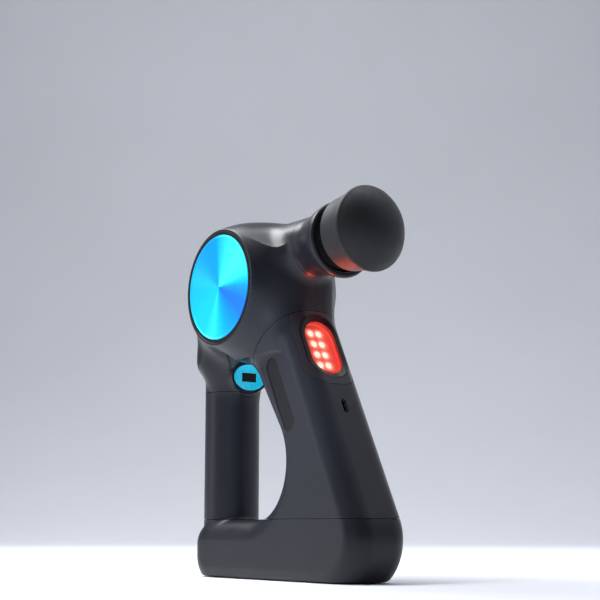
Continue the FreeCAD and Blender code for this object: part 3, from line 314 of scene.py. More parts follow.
# ------------------------------------------------------------------ surface from a field
def surface(name, fn, lo, hi, h, band=(-9.0, 3.0)):
    """closed mesh of fn = 0 with sharp creases kept, one vertex per cell"""
    axes = [np.arange(lo[i] - 2 * h, hi[i] + 2.5 * h, h) for i in range(3)]
    n = [len(a) for a in axes]
    X, Y, Z = np.meshgrid(*axes, indexing="ij")
    X, Y, Z = X.ravel(), Y.ravel(), Z.ravel()
    fb = f_body(X, Y, Z)
    g = np.full(X.shape, 1.0)
    m = (fb < band[1]) & (fb > band[0])
    g[m] = fn(X[m], Y[m], Z[m])
    g[g == 0] = 1e-6
    g = g.reshape(n)
    inside = g < 0
    base = np.array([a[0] for a in axes])
    pts, nor, cells, quads = [], [], [], []
    strides = np.array([n[1] * n[2], n[2], 1])

    def grad(p, e=0.03):
        out = np.empty_like(p)
        for k in range(3):
            d = np.zeros(3)
            d[k] = e
            a, b = p + d, p - d
            out[:, k] = fn(a[:, 0], a[:, 1], a[:, 2]) - fn(b[:, 0], b[:, 1], b[:, 2])
        return out / (np.linalg.norm(out, axis=1, keepdims=True) + 1e-12)

    for ax in range(3):
        sl0 = [slice(None)] * 3
        sl1 = [slice(None)] * 3
        sl0[ax], sl1[ax] = slice(0, -1), slice(1, None)
        s0, s1 = inside[tuple(sl0)], inside[tuple(sl1)]
        ijk = np.argwhere(s0 != s1)
        if not len(ijk):
            continue
        flip = s1[tuple(ijk.T)]
        p0 = base + ijk * h
        p1 = p0.copy()
        p1[:, ax] += h
        a, b = np.where(flip[:, None], p1, p0), np.where(flip[:, None], p0, p1)   # a inside, b outside
        for _ in range(9):
            c = 0.5 * (a + b)
            v = fn(c[:, 0], c[:, 1], c[:, 2]) < 0
            a = np.where(v[:, None], c, a)
            b = np.where(v[:, None], b, c)
        p = 0.5 * (a + b)
        q = grad(p)
        u, w = (ax + 1) % 3, (ax + 2) % 3
        four = []
        for du, dw in ((-1, -1), (0, -1), (0, 0), (-1, 0)):
            c = ijk.copy()
            c[:, u] += du
            c[:, w] += dw
            four.append(c @ strides)
        four = np.stack(four, 1)
        for k in range(4):
            pts.append(p)
            nor.append(q)
            cells.append(four[:, k])
        quads.append(np.where(flip[:, None], four[:, ::-1], four))
    pts, nor, cells, quads = np.concatenate(pts), np.concatenate(nor), np.concatenate(cells), np.concatenate(quads)
    ids, inv = np.unique(cells, return_inverse=True)
    m = len(ids)
    cnt = np.bincount(inv, minlength=m).astype(float)
    mass = np.stack([np.bincount(inv, pts[:, k], m) for k in range(3)], 1) / cnt[:, None]
    rel = pts - mass[inv]
    d = (nor * rel).sum(1)
    A = np.empty((m, 3, 3))
    for i in range(3):
        for j in range(3):
            A[:, i, j] = np.bincount(inv, nor[:, i] * nor[:, j], m)
    B = np.stack([np.bincount(inv, nor[:, k] * d, m) for k in range(3)], 1)
    w, V = np.linalg.eigh(A)
    keep = w > 0.06 * w[:, 2:3]
    iw = np.where(keep, 1 / np.maximum(w, 1e-9), 0)
    x = np.einsum("nij,nj->ni", V, iw * np.einsum("nji,nj->ni", V, B)) + mass
    cell = np.stack(np.unravel_index(ids, n), 1)
    clo = base + cell * h
    x = np.clip(x, clo - 0.1 * h, clo + 1.1 * h)
    mean = np.stack([np.bincount(inv, nor[:, k], m) for k in range(3)], 1) / cnt[:, None]
    crease = np.linalg.norm(mean, axis=1) < 0.985
    faces = np.searchsorted(ids, quads)
    smooth = grad(x)
    loops = faces.ravel()
    ln = smooth[loops]
    mid = x[faces].mean(1)
    edge = crease[loops]
    fi = np.repeat(np.arange(len(faces)), 4)
    pe = 0.45 * x[loops[edge]] + 0.55 * mid[fi[edge]]
    ln[edge] = grad(pe)
    # a face normal guards against a sample that fell past a crease
    fnrm = np.cross(x[faces[:, 2]] - x[faces[:, 0]], x[faces[:, 3]] - x[faces[:, 1]])
    fnrm /= np.linalg.norm(fnrm, axis=1, keepdims=True) + 1e-12
    bad = (ln * fnrm[fi]).sum(1) < 0.75
    ln[bad] = fnrm[fi[bad]]
    me = bpy.data.meshes.new(name)
    co = row(x)
    me.vertices.add(len(co))
    me.vertices.foreach_set("co", co.astype(np.float32).ravel())
    me.loops.add(len(loops))
    me.loops.foreach_set("vertex_index", loops.astype(np.int32))
    me.polygons.add(len(faces))
    me.polygons.foreach_set("loop_start", np.arange(0, 4 * len(faces), 4, dtype=np.int32))
    me.polygons.foreach_set("use_smooth", np.ones(len(faces), bool))
    me.update(calc_edges=True)
    me.normals_split_custom_set(ln.astype(np.float32))
    ob = bpy.data.objects.new(name, me)
    bpy.context.scene.collection.objects.link(ob)
    return ob


# ------------------------------------------------------------------ materials
def lin(r, g, b):
    return tuple(((c / 255.0) / 12.92 if c / 255.0 <= 0.04045 else ((c / 255.0 + 0.055) / 1.055) ** 2.4) for c in (r, g, b)) + (1.0,)


class Mat:
    def __init__(self, name):
        self.m = bpy.data.materials.new(name)
        self.m.use_nodes = True
        self.t = self.m.node_tree
        self.b = next(n for n in self.t.nodes if n.type == "BSDF_PRINCIPLED")
        self.out = next(n for n in self.t.nodes if n.type == "OUTPUT_MATERIAL")
        self.tc = self.t.nodes.new("ShaderNodeTexCoord")

    def node(self, kind, **kw):
        n = self.t.nodes.new(kind)
        for k, v in kw.items():
            setattr(n, k, v)
        return n

    def link(self, a, b):
        self.t.links.new(a, b)

    def set(self, **kw):
        for k, v in kw.items():
            self.b.inputs[k.replace("_", " ")].default_value = v

    def noise(self, scale, detail=3.0, rough=0.55, vec=None, dims="3D"):
        n = self.node("ShaderNodeTexNoise", noise_dimensions=dims)
        n.inputs["Scale"].default_value = scale
        n.inputs["Detail"].default_value = detail
        n.inputs["Roughness"].default_value = rough
        self.link(vec or self.tc.outputs["Object"], n.inputs["Vector"])
        return n.outputs["Fac"]

    def ramp(self, fac, stops):
        r = self.node("ShaderNodeValToRGB")
        el = r.color_ramp.elements
        while len(el) < len(stops):
            el.new(0.5)
        for e, (p, c) in zip(el, stops):
            e.position = p
            e.color = c if isinstance(c, tuple) else (c, c, c, 1.0)
        self.link(fac, r.inputs["Fac"])
        return r.outputs["Color"]

    def span(self, fac, a, b, lo=0.0, hi=1.0):
        r = self.node("ShaderNodeMapRange")
        r.inputs["From Min"].default_value = lo
        r.inputs["From Max"].default_value = hi
        r.inputs["To Min"].default_value = a
        r.inputs["To Max"].default_value = b
        self.link(fac, r.inputs["Value"])
        return r.outputs["Result"]

    def mix(self, fac, a, b, mode="MIX"):
        n = self.node("ShaderNodeMix", data_type="RGBA", blend_type=mode)
        for s, v in ((n.inputs[0], fac), (n.inputs[6], a), (n.inputs[7], b)):
            if hasattr(v, "is_output"):
                self.link(v, s)
            else:
                s.default_value = v
        return n.outputs[2]

    def math(self, op, a, b=0.0, c=0.0):
        n = self.node("ShaderNodeMath", operation=op)
        for s, v in zip(n.inputs, (a, b, c)):
            if hasattr(v, "is_output"):
                self.link(v, s)
            else:
                s.default_value = v
        return n.outputs[0]

    def bump(self, height, strength, dist, normal=None):
        n = self.node("ShaderNodeBump")
        n.inputs["Strength"].default_value = strength
        n.inputs["Distance"].default_value = dist
        self.link(height, n.inputs["Height"])
        if normal is not None:
            self.link(normal, n.inputs["Normal"])
        self.link(n.outputs["Normal"], self.b.inputs["Normal"])
        return n.outputs["Normal"]

    def wear(self, amount, col, under):
        """worn, lighter edges where the surface is sharply convex"""
        g = self.node("ShaderNodeNewGeometry")
        e = self.span(g.outputs["Pointiness"], 0.0, amount, 0.53, 0.62)
        e = self.math("MULTIPLY", e, self.span(self.noise(700, 4), 0.2, 1.0, 0.35, 0.65))
        return self.mix(e, under, col)


def moulded(name, base, rough, grain=2600, depth=0.000025, strength=0.35, var=0.12, spread=0.06, coat=0.0, edge=0.35, spec=0.5):
    """moulded plastic or rubber: fine grain, slow colour and gloss change, lighter worn edges"""
    m = Mat(name)
    c = lin(*base)
    lo = tuple(v * (1 - var) for v in c[:3]) + (1,)
    hi = tuple(min(1, v * (1 + var)) for v in c[:3]) + (1,)
    slow = m.noise(38, 4, 0.6)
    fine = m.noise(grain, 2, 0.5)
    col = m.ramp(slow, [(0.3, lo), (0.7, hi)])
    col = m.mix(m.span(fine, 0.0, 0.10, 0.35, 0.75), col, tuple(min(1, v * 2.2) for v in c[:3]) + (1,))
    col = m.wear(edge, tuple(min(1, v * 2.6 + 0.01) for v in c[:3]) + (1,), col)
    m.link(col, m.b.inputs["Base Color"])
    smear = m.noise(90, 5, 0.65)
    m.link(m.span(smear, rough - spread, rough + spread, 0.3, 0.7), m.b.inputs["Roughness"])
    m.bump(fine, strength, depth)
    m.set(Specular_IOR_Level=spec)
    if coat:
        m.set(Coat_Weight=coat, Coat_Roughness=0.08)
    return m.m


def metal(name, base, rough, axis=None, scale=900, aniso=0.0, var=0.08):
    """turned or brushed metal: fine lines, roughness change, small scratches"""
    m = Mat(name)
    c = lin(*base)
    mp = m.node("ShaderNodeMapping")
    m.link(m.tc.outputs["Object"], mp.inputs["Vector"])
    s = [1.0, 1.0, 1.0]
    if axis is not None:
        s = [0.04, 0.04, 0.04]
        s[axis] = 1.0
    mp.inputs["Scale"].default_value = s
    lines = m.noise(scale, 4, 0.6, mp.outputs["Vector"])
    slow = m.noise(60, 3)
    col = m.ramp(slow, [(0.3, tuple(v * (1 - var) for v in c[:3]) + (1,)), (0.7, tuple(min(1, v * (1 + var)) for v in c[:3]) + (1,))])
    m.link(col, m.b.inputs["Base Color"])
    m.link(m.span(lines, rough * 0.7, rough * 1.35, 0.3, 0.7), m.b.inputs["Roughness"])
    m.set(Metallic=1.0)
    if aniso:
        m.set(Anisotropic=aniso)
    m.bump(lines, 0.2, 0.00001)
    return m.m


M = {}
M["shell"] = moulded("shell", (17, 18, 24), 0.34, grain=3200, depth=0.000016, strength=0.25, var=0.08, spec=0.36)
M["grip"] = moulded("grip", (17, 18, 25), 0.40, grain=2600, depth=0.00002, strength=0.3, var=0.08, spec=0.36)
M["panel"] = moulded("panel", (24, 20, 26), 0.32, grain=3200, depth=0.000014, strength=0.25, var=0.06, spec=0.42)
M["black_plastic"] = moulded("black_plastic", (7, 7, 9), 0.5, grain=1800, depth=0.00002, strength=0.3, spec=0.15)
M["dark_gloss"] = moulded("dark_gloss", (16, 15, 18), 0.12, grain=2400, depth=0.000004, strength=0.1, spread=0.04, coat=0.5)
M["inset"] = moulded("inset", (8, 8, 10), 0.45, grain=2400, depth=0.000008, strength=0.2, spread=0.04, spec=0.2)
M["rubber"] = moulded("rubber", (24, 24, 26), 0.72, grain=1300, depth=0.00006, strength=0.5)
M["white_plastic"] = moulded("white_plastic", (232, 230, 226), 0.4, var=0.03)
M["cell_wrap"] = moulded("cell_wrap", (36, 92, 160), 0.3, var=0.05, spread=0.05)
M["laminate"] = metal("laminate", (120, 122, 126), 0.4, axis=0, scale=2500)
M["steel"] = metal("steel", (176, 178, 182), 0.22, axis=1, scale=1500)
M["aluminium"] = metal("aluminium", (190, 192, 196), 0.34, scale=1200)
M["bronze"] = metal("bronze", (168, 118, 66), 0.36, scale=1400)
M["copper"] = metal("copper", (196, 108, 62), 0.3, axis=1, scale=3000)
M["magnet"] = metal("magnet", (96, 98, 104), 0.3, scale=900)


def board_material():
    m = Mat("board")
    v = m.node("ShaderNodeTexVoronoi", feature="DISTANCE_TO_EDGE")
    v.inputs["Scale"].default_value = 420
    m.link(m.tc.outputs["Object"], v.inputs["Vector"])
    tr = m.ramp(v.outputs["Distance"], [(0.02, lin(48, 140, 84)), (0.06, lin(14, 66, 38))])
    m.link(tr, m.b.inputs["Base Color"])
    m.link(m.span(m.noise(200), 0.3, 0.5, 0.3, 0.7), m.b.inputs["Roughness"])
    m.bump(v.outputs["Distance"], 0.3, 0.00003)
    return m.m


M["board"] = board_material()


def head_material():
    m = Mat("head_soft")
    c = lin(22, 23, 25)
    slow = m.noise(30, 4, 0.6)
    pores = m.noise(3600, 2, 0.5)
    col = m.ramp(slow, [(0.3, tuple(v * 0.92 for v in c[:3]) + (1,)), (0.7, tuple(v * 1.08 for v in c[:3]) + (1,))])
    col = m.mix(m.span(m.noise(5200, 1), 0.0, 0.35, 0.6, 0.85), col, tuple(v * 2.0 for v in c[:3]) + (1,))
    m.link(col, m.b.inputs["Base Color"])
    m.link(m.span(m.noise(120, 5, 0.65), 0.50, 0.62, 0.3, 0.7), m.b.inputs["Roughness"])
    m.set(Specular_IOR_Level=0.4)
    m.bump(pores, 0.35, 0.00003)
    return m.m


M["head_soft"] = head_material()


def disc_material():
    """anodised metal turned on a lathe: rings round X, so that light fans out from the centre; bright and dark sectors
    of that fan are also painted into the colour
    """
    m = Mat("blue_anodised")
    sep = m.node("ShaderNodeSeparateXYZ")
    m.link(m.tc.outputs["Object"], sep.inputs["Vector"])
    y = m.math("SUBTRACT", sep.outputs["Y"], 0.024)
    z = m.math("SUBTRACT", sep.outputs["Z"], 0.174)
    r = m.math("SQRT", m.math("ADD", m.math("MULTIPLY", y, y), m.math("MULTIPLY", z, z)))
    comb = m.node("ShaderNodeCombineXYZ")
    m.link(r, comb.inputs["X"])
    rings = m.noise(5200, 3, 0.6, comb.outputs["Vector"])
    rings2 = m.noise(900, 2, 0.6, comb.outputs["Vector"])
    # painted reflection: the base colour turns from cyan to deep blue with the angle round the centre, fixed sectors
    # that stand for the fanned highlights of the turning lines
    sector_angle = m.math("ARCTAN2", z, m.math("MULTIPLY", y, -1.0))
    sector_angle = m.math("FRACT", m.math("ADD", m.math("DIVIDE", sector_angle, 2 * math.pi), 1.0))
    sector_angle = m.math("ADD", sector_angle, m.span(rings2, -0.008, 0.008, 0.3, 0.7))
    painted_reflection_stops = [(0.0, (6, 190, 250)), (0.03, (52, 232, 255)), (0.09, (70, 240, 255)), (0.20, (50, 228, 255)), (0.243, (20, 204, 252)),
            (0.267, (0, 164, 240)), (0.33, (0, 160, 238)), (0.39, (0, 168, 242)), (0.45, (6, 196, 252)), (0.58, (10, 200, 254)),
            (0.66, (6, 196, 252)), (0.72, (44, 222, 255)), (0.76, (6, 190, 250)), (0.80, (0, 158, 240)), (0.90, (0, 104, 216)),
            (0.94, (0, 108, 218)), (0.985, (0, 152, 238)), (1.0, (6, 190, 250))]
    base = m.ramp(sector_angle, [(p, lin(*c)) for p, c in painted_reflection_stops])
    m.link(base, m.b.inputs["Base Color"])
    m.link(m.span(rings, 0.30, 0.42, 0.3, 0.7), m.b.inputs["Roughness"])
    m.set(Metallic=0.45, Anisotropic=0.8, Specular_IOR_Level=0.3)
    tan = m.node("ShaderNodeTangent", direction_type="RADIAL", axis="X")
    m.link(tan.outputs["Tangent"], m.b.inputs["Tangent"])
    m.bump(rings, 0.12, 0.000006)
    return m.m


def blue_plain(name="blue_dish"):
    m = Mat(name)
    m.link(m.ramp(m.noise(80, 3), [(0.3, lin(14, 186, 224)), (0.7, lin(34, 204, 240))]), m.b.inputs["Base Color"])
    m.link(m.span(m.noise(1800, 3), 0.22, 0.34, 0.3, 0.7), m.b.inputs["Roughness"])
    m.set(Metallic=0.4, Specular_IOR_Level=0.8, Coat_Weight=0.5, Coat_Roughness=0.12)
    m.bump(m.noise(3000, 2), 0.15, 0.00001)
    return m.m


M["blue_anodised"] = disc_material()
M["blue_dish"] = blue_plain()


def led_field(m):
    """smooth spots at the eight emitters, from the place on the board; they carry the painted glow round each emitter
    """
    sep = m.node("ShaderNodeSeparateXYZ")
    m.link(m.tc.outputs["Object"], sep.inputs["Vector"])
    x, y, z = sep.outputs["X"], sep.outputs["Y"], sep.outputs["Z"]
    ax = m.math("SUBTRACT", m.math("ABSOLUTE", x), 0.0029)
    l = m.math("ADD", m.math("MULTIPLY", m.math("SUBTRACT", y, 0.024), LVY), m.math("MULTIPLY", m.math("SUBTRACT", z, 0.174), LVZ))
    w = m.math("WRAP", m.math("SUBTRACT", l, 0.0496), 0.00365, -0.00365)
    d2 = m.math("ADD", m.math("MULTIPLY", ax, ax), m.math("MULTIPLY", w, w))
    within = m.math("MULTIPLY", m.math("GREATER_THAN", l, 0.04595), m.math("LESS_THAN", l, 0.07515))
    return d2, within, x, l


def spot(m, d2, within, sigma):
    e = m.math("POWER", 2.718281828, m.math("DIVIDE", d2, -2.0 * sigma * sigma))
    return m.math("MULTIPLY", e, within)


def light_board_material():
    m = Mat("light_board")
    d2, within, x, l = led_field(m)
    # painted light: the bright cores, the glow round each emitter and the red rising towards +X stand for emitter
    # light falling on the board
    core = spot(m, d2, within, 0.0013)
    painted_glow_halo = spot(m, d2, within, 0.0026)
    painted_side_glow = m.span(x, 0.55, 1.0, -0.006, 0.010)
    red = m.mix(m.span(x, 0.0, 1.0, -0.006, 0.007), lin(214, 66, 44), lin(255, 62, 34))
    col = m.mix(m.math("MINIMUM", m.math("MULTIPLY", painted_glow_halo, 0.75), 1.0), red, lin(255, 178, 148))
    col = m.mix(m.math("MINIMUM", m.math("MULTIPLY", core, 1.3), 1.0), col, lin(255, 244, 226))
    m.link(col, m.b.inputs["Emission Color"])
    s = m.math("ADD", m.math("MULTIPLY", painted_glow_halo, 0.9), m.math("MULTIPLY", core, 2.4))
    s = m.math("ADD", s, m.math("MULTIPLY", painted_side_glow, 0.75))
    s = m.math("MULTIPLY", s, m.span(m.noise(500, 3), 0.85, 1.15, 0.3, 0.7))
    m.link(s, m.b.inputs["Emission Strength"])
    m.set(Base_Color=lin(120, 20, 12))
    m.link(m.span(m.noise(900), 0.4, 0.6, 0.3, 0.7), m.b.inputs["Roughness"])
    m.bump(m.noise(1500), 0.2, 0.00002)
    return m.m


def emitter_material():
    m = Mat("emitter")
    m.link(m.ramp(m.noise(900, 2), [(0.3, lin(255, 236, 206)), (0.7, lin(255, 250, 240))]), m.b.inputs["Emission Color"])
    m.set(Emission_Strength=1.5, Base_Color=lin(255, 220, 190))
    m.link(m.span(m.noise(800), 0.3, 0.5, 0.3, 0.7), m.b.inputs["Roughness"])
    m.bump(m.noise(1600), 0.1, 0.00001)
    return m.m


def reflector_material():
    m = Mat("light_reflector")
    m.link(m.ramp(m.noise(160, 3), [(0.3, lin(226, 62, 34)), (0.7, lin(250, 92, 60))]), m.b.inputs["Base Color"])
    # painted glow: the reflector emits red as if lit by the emitters
    m.link(m.ramp(m.noise(160, 3), [(0.3, lin(236, 44, 18)), (0.7, lin(255, 74, 40))]), m.b.inputs["Emission Color"])
    m.set(Emission_Strength=0.8)
    m.link(m.span(m.noise(700), 0.2, 0.4, 0.3, 0.7), m.b.inputs["Roughness"])
    m.bump(m.noise(1200), 0.15, 0.00002)
    return m.m


def lens_material():
    m = Mat("red_lens")
    m.link(m.ramp(m.noise(140, 3), [(0.3, lin(190, 20, 8)), (0.7, lin(214, 30, 14))]), m.b.inputs["Base Color"])
    m.link(m.span(m.noise(240, 4), 0.05, 0.12, 0.3, 0.7), m.b.inputs["Roughness"])
    # painted glow: weak red emission stands for emitter light scattered in the lens
    m.set(Alpha=0.26, Emission_Color=lin(255, 60, 30), Emission_Strength=0.35, Coat_Weight=0.3, Coat_Roughness=0.05)
    m.bump(m.noise(500, 2), 0.06, 0.00003)
    return m.m


M["light_board"] = light_board_material()
M["emitter"] = emitter_material()
M["light_reflector"] = reflector_material()
M["red_lens"] = lens_material()


def bezel_material():
    m = moulded("light_bezel", (12, 3, 7), 0.32, grain=2400, depth=0.000005, strength=0.12, spread=0.05, spec=0.25)
    return m


M["light_bezel"] = bezel_material()


def display_material():
    m = Mat("display")
    m.link(m.ramp(m.noise(120, 3), [(0.3, lin(4, 5, 8)), (0.7, lin(7, 9, 13))]), m.b.inputs["Base Color"])
    m.link(m.span(m.noise(260, 4), 0.05, 0.13, 0.35, 0.65), m.b.inputs["Roughness"])
    m.set(Coat_Weight=0.5, Coat_Roughness=0.03)
    m.bump(m.noise(900, 2), 0.05, 0.00001)
    return m.m


M["display"] = display_material()


def paint(ob, mat):
    ob.data.materials.clear()
    ob.data.materials.append(mat)


def bevel(ob, width, segs=3, angle=35):
    b = ob.modifiers.new("edge", "BEVEL")
    b.width = width
    b.segments = segs
    b.limit_method = "ANGLE"
    b.angle_limit = math.radians(angle)
    b.harden_normals = True
    for p in ob.data.polygons:
        p.use_smooth = True
    return ob


# carried-over CAD nodes: one finish each
FINISH = {
    "light_board": "light_board", "light_emitters": "emitter", "light_reflector": "light_reflector",
    "side_inserts": "inset", "charge_socket": "steel", "charge_board": "board",
    "cap_disc_left": "blue_anodised", "cap_ring_left": "dark_gloss", "cap_disc_right": "dark_gloss", "cap_ring_right": "black_plastic",
    "sensor_dish": "blue_dish", "sensor_window": "display", "sensor_board": "board",
    "control_panel": "dark_gloss", "display_glass": "display", "display_module": "black_plastic",
    "power_button": "blue_dish", "speed_up_button": "black_plastic", "speed_down_button": "black_plastic", "button_board": "board",
    "percussion_shaft": "steel", "guide_tube": "aluminium", "shaft_bushings": "bronze", "nose_seal": "rubber",
    "shaft_yoke": "steel", "crank_disc": "steel", "crank_pin": "steel", "crank_roller": "bronze",
    "rotor_bell": "steel", "rotor_magnets": "magnet", "motor_axle": "steel", "motor_plate": "aluminium", "motor_bearings": "steel",
    "motor_stator": "laminate", "motor_windings": "copper", "chassis_plate": "aluminium", "chassis_posts": "aluminium",
    "soft_mounts": "rubber", "chassis_screws": "steel", "housing_screws": "steel", "main_board": "board",
    "battery_cells_front": "cell_wrap", "battery_end_frames": "black_plastic", "battery_cell_rear": "cell_wrap",
    "rear_cell_rings": "black_plastic", "wiring": "rubber", "foot_pad": "rubber", "head_core": "black_plastic",
    "head_snap_ring": "steel", "head_body": "head_soft",
}
for nm, ob in N.items():
    if nm in FINISH:
        paint(ob, M[FINISH[nm]])

# ------------------------------------------------------------------ mouldings of the handle
FINE = 0.95
JOBS = [
    ("housing_left", p_left, (-37.2, -53.0, -62.0), (0.5, 56.5, 47.0), FINE, "shell", "shell"),
    ("housing_right", p_right, (-0.5, -53.0, -62.0), (30.5, 56.5, 47.0), FINE, "shell", "shell"),
    ("nose_collar", p_nose, (-25.2, -78.2, -7.0), (25.2, -51.0, 48.5), FINE * 0.8, "shell", "shell"),
    ("front_grip_cover", p_front, (-27.5, -112.0, -140.5), (27.5, 20.5, -16.0), FINE * 0.85, "grip", "grip"),
    ("light_panel", p_panel, (-27.5, -92.0, -90.0), (27.5, -36.0, -16.0), FINE * 0.7, "grip", "panel"),
    ("rear_grip_sleeve", p_sleeve, (-18.5, 18.5, -140.5), (18.5, 56.5, -42.0), FINE, "grip", "grip"),
    ("base_cover", p_base, (-21.0, -122.0, -174.0), (21.0, 56.5, -138.0), FINE * 1.2, "grip", "grip"),
    ("light_bezel", p_bezel, (-15.0, -85.0, -92.0), (15.0, -45.0, -18.0), 0.45, "dark_gloss", "light_bezel"),
    ("light_lens", p_lens, (-11.5, -80.0, -88.0), (11.5, -45.0, -20.0), 0.5, "red_lens", "red_lens"),
]
for nm, fn, lo, hi, h, slot, mat in JOBS:
    ob = surface(nm + "_skin", fn, lo, hi, h)
    paint(ob, M[mat])
    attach(ob, "housing")
    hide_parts(nm)


# ------------------------------------------------------------------ turned pieces
def lathe(name, prof, axis, centre, seg=160):
    """closed turned solid; prof = [(along, radius)] from one end of the axis to the other, in hub mm"""
    verts, faces = [], []
    rings = []
    for a, r in prof:
        if r < 1e-6:
            rings.append([len(verts)])
            v = list(centre)
            v[axis] = a
            verts.append(v)
            continue
        ring = []
        for k in range(seg):
            t = 2 * math.pi * k / seg
            v = list(centre)
            v[axis] = a
            i, j = (axis + 1) % 3, (axis + 2) % 3
            v[i] += r * math.cos(t)
            v[j] += r * math.sin(t)
            ring.append(len(verts))
            verts.append(v)
        rings.append(ring)
    for a, b in zip(rings, rings[1:]):
        for k in range(seg):
            k2 = (k + 1) % seg
            if len(a) == 1:
                faces.append((a[0], b[k2], b[k]))
            elif len(b) == 1:
                faces.append((a[k], a[k2], b[0]))
            else:
                faces.append((a[k], a[k2], b[k2], b[k]))
    if len(rings[0]) > 1 and len(rings[-1]) > 1:   # open ring section: close it on itself
        a, b = rings[-1], rings[0]
        for k in range(seg):
            k2 = (k + 1) % seg
            faces.append((a[k], a[k2], b[k2], b[k]))
    me = bpy.data.meshes.new(name)
    me.from_pydata([tuple(row(v)) for v in verts], [], faces)
    me.validate()
    import bmesh
    bm = bmesh.new()
    bm.from_mesh(me)
    bmesh.ops.recalc_face_normals(bm, faces=bm.faces)
    bm.to_mesh(me)
    bm.free()
    me.shade_smooth()
    me.set_sharp_from_angle(angle=math.radians(38))
    ob = bpy.data.objects.new(name, me)
    bpy.context.scene.collection.objects.link(ob)
    return ob


def rounded(pts, rads, seg=5):
    """open 2D path with its inner corners rounded"""
    out = [pts[0]]
    for i in range(1, len(pts) - 1):
        p, a, b, r = np.array(pts[i]), np.array(pts[i - 1]), np.array(pts[i + 1]), rads[i]
        if r <= 0:
            out.append(tuple(p))
            continue
        ua, ub = a - p, b - p
        la, lb = np.linalg.norm(ua), np.linalg.norm(ub)
        ua, ub = ua / la, ub / lb
        ang = math.acos(max(-1, min(1, float(ua @ ub))))
        t = min(r / math.tan(ang / 2), 0.48 * la, 0.48 * lb)
        for k in range(seg + 1):
            s = k / seg
            q = (1 - s) ** 2 * (p + ua * t) + 2 * s * (1 - s) * p + s * s * (p + ub * t)
            out.append(tuple(q))
    out.append(pts[-1])
    return out


# rolled rims of the housing round both caps
prof = rounded([(-34.6, 33.95), (-36.55, 33.95), (-36.4, 35.6), (-34.8, 36.4)], [0, 0.6, 0.75, 0], 6)
rim = lathe("housing_left_rim", prof, 0, (0, 0, 0), 240)
paint(rim, M["shell"])
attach(rim, "housing")
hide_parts("housing_left")
prof = rounded([(28.3, 29.8), (29.5, 29.8), (29.5, 31.15), (28.3, 31.9)], [0, 0.5, 0.7, 0], 6)
rim2 = lathe("housing_right_rim", prof, 0, (0, 0, 0), 200)
paint(rim2, M["shell"])
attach(rim2, "housing")
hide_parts("housing_right")

# left cap: shallow turned cone inside a raised lip, and its ring
R = 32.0
prof = rounded([(-34.6, 0.0), (-34.6, R), (-37.0, R), (-37.0, R - 0.75), (-36.62, R - 1.15), (-36.5, 0.0)], [0, 0.2, 0.35, 0.18, 0.35, 0])
disc = lathe("cap_disc_left_turned", prof, 0, (0, 0, 0), 240)
paint(disc, M["blue_anodised"])
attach(disc, "housing")
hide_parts("cap_disc_left")
prof = rounded([(-34.6, 32.1), (-36.6, 32.1), (-36.5, 33.0), (-36.4, 33.9), (-34.6, 33.9)], [0, 0.15, 0.3, 0.25, 0], 4)
ring = lathe("cap_ring_left_turned", prof, 0, (0, 0, 0), 240)
paint(ring, M["black_plastic"])
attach(ring, "housing")
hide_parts("cap_ring_left")
# right cap: turned blue disc, with the same painted reflection sectors as the left
R = 27.6
prof = rounded([(28.2, 0.0), (28.2, R), (29.9, R), (29.9, R - 0.8), (29.62, R - 1.3), (29.6, 0.0)], [0, 0.2, 0.35, 0.2, 0.3, 0])
disc2 = lathe("cap_disc_right_turned", prof, 0, (0, 0, 0), 200)
paint(disc2, M["blue_anodised"])
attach(disc2, "housing")
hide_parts("cap_disc_right")
prof = rounded([(28.2, 27.75), (29.3, 27.75), (29.2, 28.6), (29.15, 29.75), (28.2, 29.75)], [0, 0.15, 0.3, 0.25, 0], 4)
ring2 = lathe("cap_ring_right_turned", prof, 0, (0, 0, 0), 200)
paint(ring2, M["black_plastic"])
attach(ring2, "housing")
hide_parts("cap_ring_right")

# soft head: collar, rolled rim, shallow dome
RB, RR = 21.9, 24.95
tip, rise = -115.0, 12.4
ball = ((RR - 1.3) ** 2 + rise ** 2) / (2 * rise)
prof = [(-84.35, 0.0), (-84.35, 13.0), (-81.9, 13.05), (-81.9, RB - 1.4)]
for k in range(1, 9):
    t = k / 8 * math.pi / 2
    prof.append((-81.9 - 1.2 * (1 - math.cos(t)), RB - 1.4 + 1.4 * math.sin(t)))
for k in range(1, 15):
    t = k / 14
    y = -83.1 + t * (-99.6 + 83.1)
    prof.append((y, RB + (RR - 0.35 - RB) * (0.35 * t + 0.65 * t * t)))
# a fine step under the rim, then the rolled edge
prof += [(-99.85, RR - 0.42), (-100.05, RR - 0.12), (-100.5, RR + 0.0)]
for k in range(1, 9):
    t = k / 8 * math.radians(62)
    prof.append((-100.5 - 2.3 * math.sin(t), RR - 1.55 * (1 - math.cos(t))))
y1, r1 = prof[-1]
ball = (r1 ** 2 + (y1 - tip) ** 2) / (2 * (y1 - tip))
half = math.asin(r1 / ball)
for k in range(1, 24):
    t = half * (1 - k / 24)
    prof.append((tip + ball - ball * math.cos(t), ball * math.sin(t)))
prof.append((tip, 0.0))
head = lathe("head_body_soft", prof, 1, (0, 0, 23.0), 200)
paint(head, M["head_soft"])
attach(head, "head")
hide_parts("head_body")
